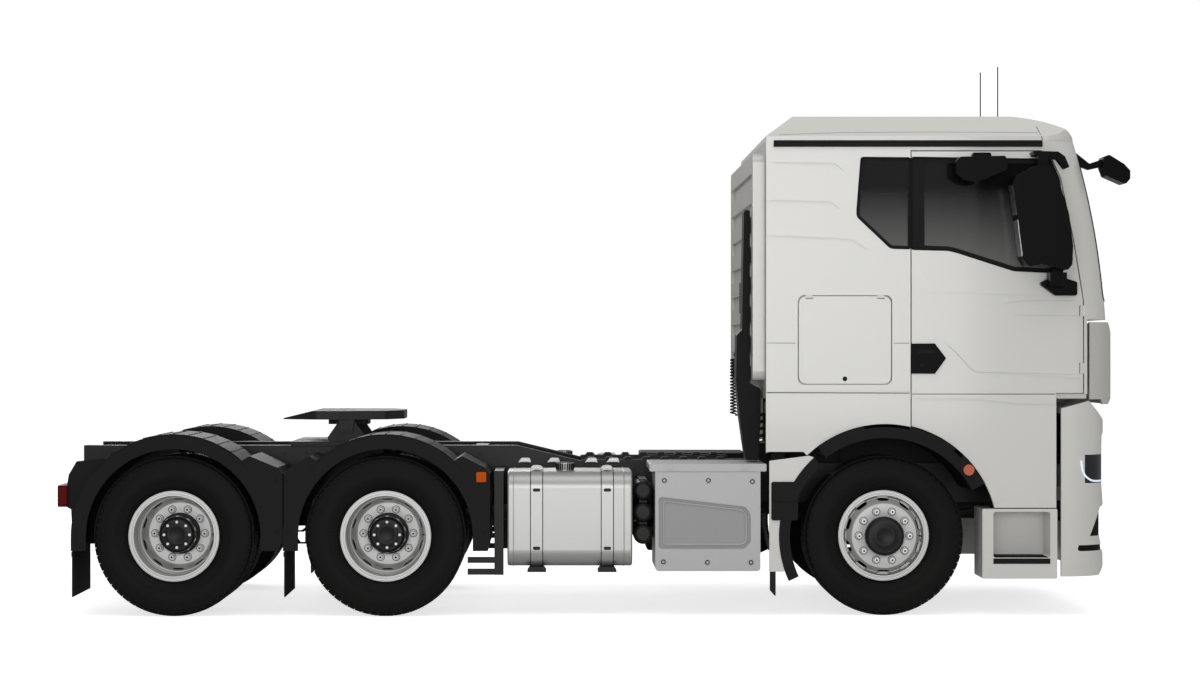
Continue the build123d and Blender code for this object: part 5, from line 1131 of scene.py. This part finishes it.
def cushion(centre, half, crown, lean=0.0, soft=0.05, lines=()):
    form = bmesh.new()
    bmesh.ops.create_cube(form, size=2.0)
    bmesh.ops.subdivide_edges(form, edges=form.edges[:], cuts=22, use_grid_fill=True)
    inner = [max(h - soft, 0.001) for h in half]
    for vert in form.verts:
        u, v, w = vert.co
        point = Vector((u * half[0], v * half[1], w * half[2]))
        core = Vector([max(-i, min(i, p)) for i, p in zip(inner, point)])
        rest = point - core
        if rest.length > 0:
            point = core + rest.normalized() * soft
        swell = crown * max(0.0, 1 - u * u) * max(0.0, 1 - v * v)
        for line in lines:
            swell -= crown * 0.7 * math.exp(-((abs(v) - line) / 0.04) ** 2)
        point.z += swell * (1 if w > 0 else -0.3)
        vert.co = point
    form.transform(Matrix.Translation(centre) @ Matrix.Rotation(lean, 4, "Y"))
    mesh = bpy.data.meshes.new("cushion")
    form.to_mesh(mesh)
    form.free()
    return mesh


seat_parts, seat_bases = [], []
for sign in (-1, 1):
    seat_y = sign * 0.62
    seat_parts.append(cushion((2.242, seat_y, 1.915), (0.255, 0.255, 0.06), 0.018, 0.0, 0.045, (0.55,)))
    seat_parts.append(cushion((2.135, seat_y, 2.27), (0.3, 0.245, 0.052), 0.016, math.radians(-77), 0.045,
                              (0.55,)))
    seat_parts.append(cushion((1.938, seat_y, 2.68), (0.088, 0.135, 0.04), 0.01, math.radians(-82), 0.034))
    bellows = brick((2.062, seat_y - 0.165, -0.016), (2.402, seat_y + 0.165, 0.016), 0.014)
    seat_bases.append(repeated(bellows, 9, (0, 0, 1.545), (0, 0, 0.036), dash_plastic))
    for post in (-0.06, 0.06):
        seat_bases.append(tube([(2.003, seat_y + post, 2.545), (1.955, seat_y + post, 2.64)], 0.007))
    for side, inner, outer, soft in ((-sign * 0.27, -0.02, 0.02, 0.014), (sign * 0.27, -0.03, -0.005, 0.01)):
        rest_y = seat_y + side
        seat_bases.append(brick((2.06, rest_y + inner, 2.12), (2.36, rest_y + outer, 2.16), soft))
seat_piece = build("seat_cushions", seat_parts, seat_fabric, "cab")
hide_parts("seats")
build("seat_frames", seat_bases, dash_plastic, "cab")
mattress = cushion((1.508, 0.0, 1.942), (0.325, 1.145, 0.062), 0.006, 0.0, 0.04, (0.33, 0.66))
bunk_piece = build("bunk_mattress", [mattress], seat_fabric, "cab")
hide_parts("bunk")
build("bunk_base", [brick((1.18, -1.145, 1.503), (1.776, 1.145, 1.878), 0.012)], dash_plastic, "cab")
tilt = Matrix.Translation((2.702, 0.62, 2.19)) @ Matrix.Rotation(math.radians(-58), 4, "Y")
stitches = repeated(brick((0.2435, -0.004, -0.0015), (0.245, 0.004, 0.0015), 0.0), 90, (0, 0, 0), (0, 0, 0),
                    dash_plastic, turn_step=(0, 0, 2 * math.pi / 90))
stitches.transform(tilt)
pad = cushion((0, 0, 0.022), (0.075, 0.09, 0.014), 0.006, 0.0, 0.012)
pad.transform(tilt)
build("wheel_pad", [stitches, pad], dash_plastic, "cab")
vents = [repeated(brick((2.775, vent_y - 0.07, -0.0015), (2.795, vent_y + 0.07, 0.0015), 0.0), 6,
                  (0, 0, 2.055), (0, 0, 0.014), dash_plastic) for vent_y in (-0.95, -0.3, 0.3, 0.95)]
build("dash_vents", vents, dash_plastic, "cab", smooth=False)

# Studio: a plain pale floor with soft light from above and from both sides.
# The backdrop is white behind the vehicle, and the floor keeps its soft shadow.
white = (1.0, 1.0, 1.0, 1.0)
floor_mesh = plain_mesh([(-60, -30, 0), (60, -30, 0), (60, 90, 0), (-60, 90, 0)], [(0, 1, 2, 3)])
studio_floor = bpy.data.objects.new("studio_floor", floor_mesh)
bpy.context.scene.collection.objects.link(studio_floor)
floor_material = bpy.data.materials.new("studio_floor")
floor_material.use_nodes = True
floor_tree = floor_material.node_tree
floor_shader = floor_tree.nodes["Principled BSDF"]
floor_shader.inputs["Base Color"].default_value = (0.8, 0.8, 0.8, 1.0)
floor_shader.inputs["Roughness"].default_value = 0.9
floor_shader.inputs["Specular IOR Level"].default_value = 0.0
floor_shader.inputs["Emission Color"].default_value = white
floor_ray = add_node(floor_tree, "ShaderNodeLightPath")
floor_lift = add_node(floor_tree, "ShaderNodeMath", {1: 0.72}, operation="MULTIPLY")
wire(floor_tree, (floor_ray, "Is Camera Ray", floor_lift, 0),
     (floor_lift, "Value", floor_shader, "Emission Strength"))
floor_mesh.materials.append(floor_material)

world = bpy.data.worlds.new("studio_sky")
bpy.context.scene.world = world
world.use_nodes = True
sky_tree = world.node_tree
sky_light = sky_tree.nodes["Background"]
sky_light.inputs["Color"].default_value = white
sky_light.inputs["Strength"].default_value = 0.4
sky_seen = add_node(sky_tree, "ShaderNodeBackground", {"Color": white, "Strength": 1.05})
sky_ray = add_node(sky_tree, "ShaderNodeLightPath")
sky_mix = add_node(sky_tree, "ShaderNodeMixShader")
wire(
    sky_tree,
    (sky_ray, "Is Camera Ray", sky_mix, "Fac"),
    (sky_light, "Background", sky_mix, 1),
    (sky_seen, "Background", sky_mix, 2),
    (sky_mix, "Shader", sky_tree.nodes["World Output"], "Surface"),
)

for label, place, aim, size, power in (
    ("key", (1.5, -4.0, 8.5), (0.0, 0.0, 1.0), (11.0, 5.0), 225.0),
    ("front_fill", (-0.8, -24.0, 3.6), (0.0, 0.0, 1.6), (14.0, 6.0), 1500.0),
    ("far_fill", (-5.0, 15.0, 8.0), (0.0, 0.0, 1.6), (10.0, 5.0), 800.0),
):
    lamp = bpy.data.lights.new(label, "AREA")
    lamp.shape = "RECTANGLE"
    lamp.size, lamp.size_y = size
    lamp.energy = power
    holder = bpy.data.objects.new(label, lamp)
    holder.location = place
    holder.rotation_euler = (Vector(aim) - Vector(place)).to_track_quat("-Z", "Y").to_euler()
    bpy.context.scene.collection.objects.link(holder)

camera_lens = bpy.data.cameras.new("camera")
camera_lens.sensor_width = 36.0
camera_lens.lens = 78.18
camera_lens.shift_x = 0.0333
camera = bpy.data.objects.new("camera", camera_lens)
camera.location = (-0.245, -18.445, 1.761)
camera.rotation_euler = (math.pi / 2, 0.0, 0.0)
bpy.context.scene.collection.objects.link(camera)
bpy.context.scene.camera = camera
bpy.context.scene.view_settings.view_transform = "Standard"
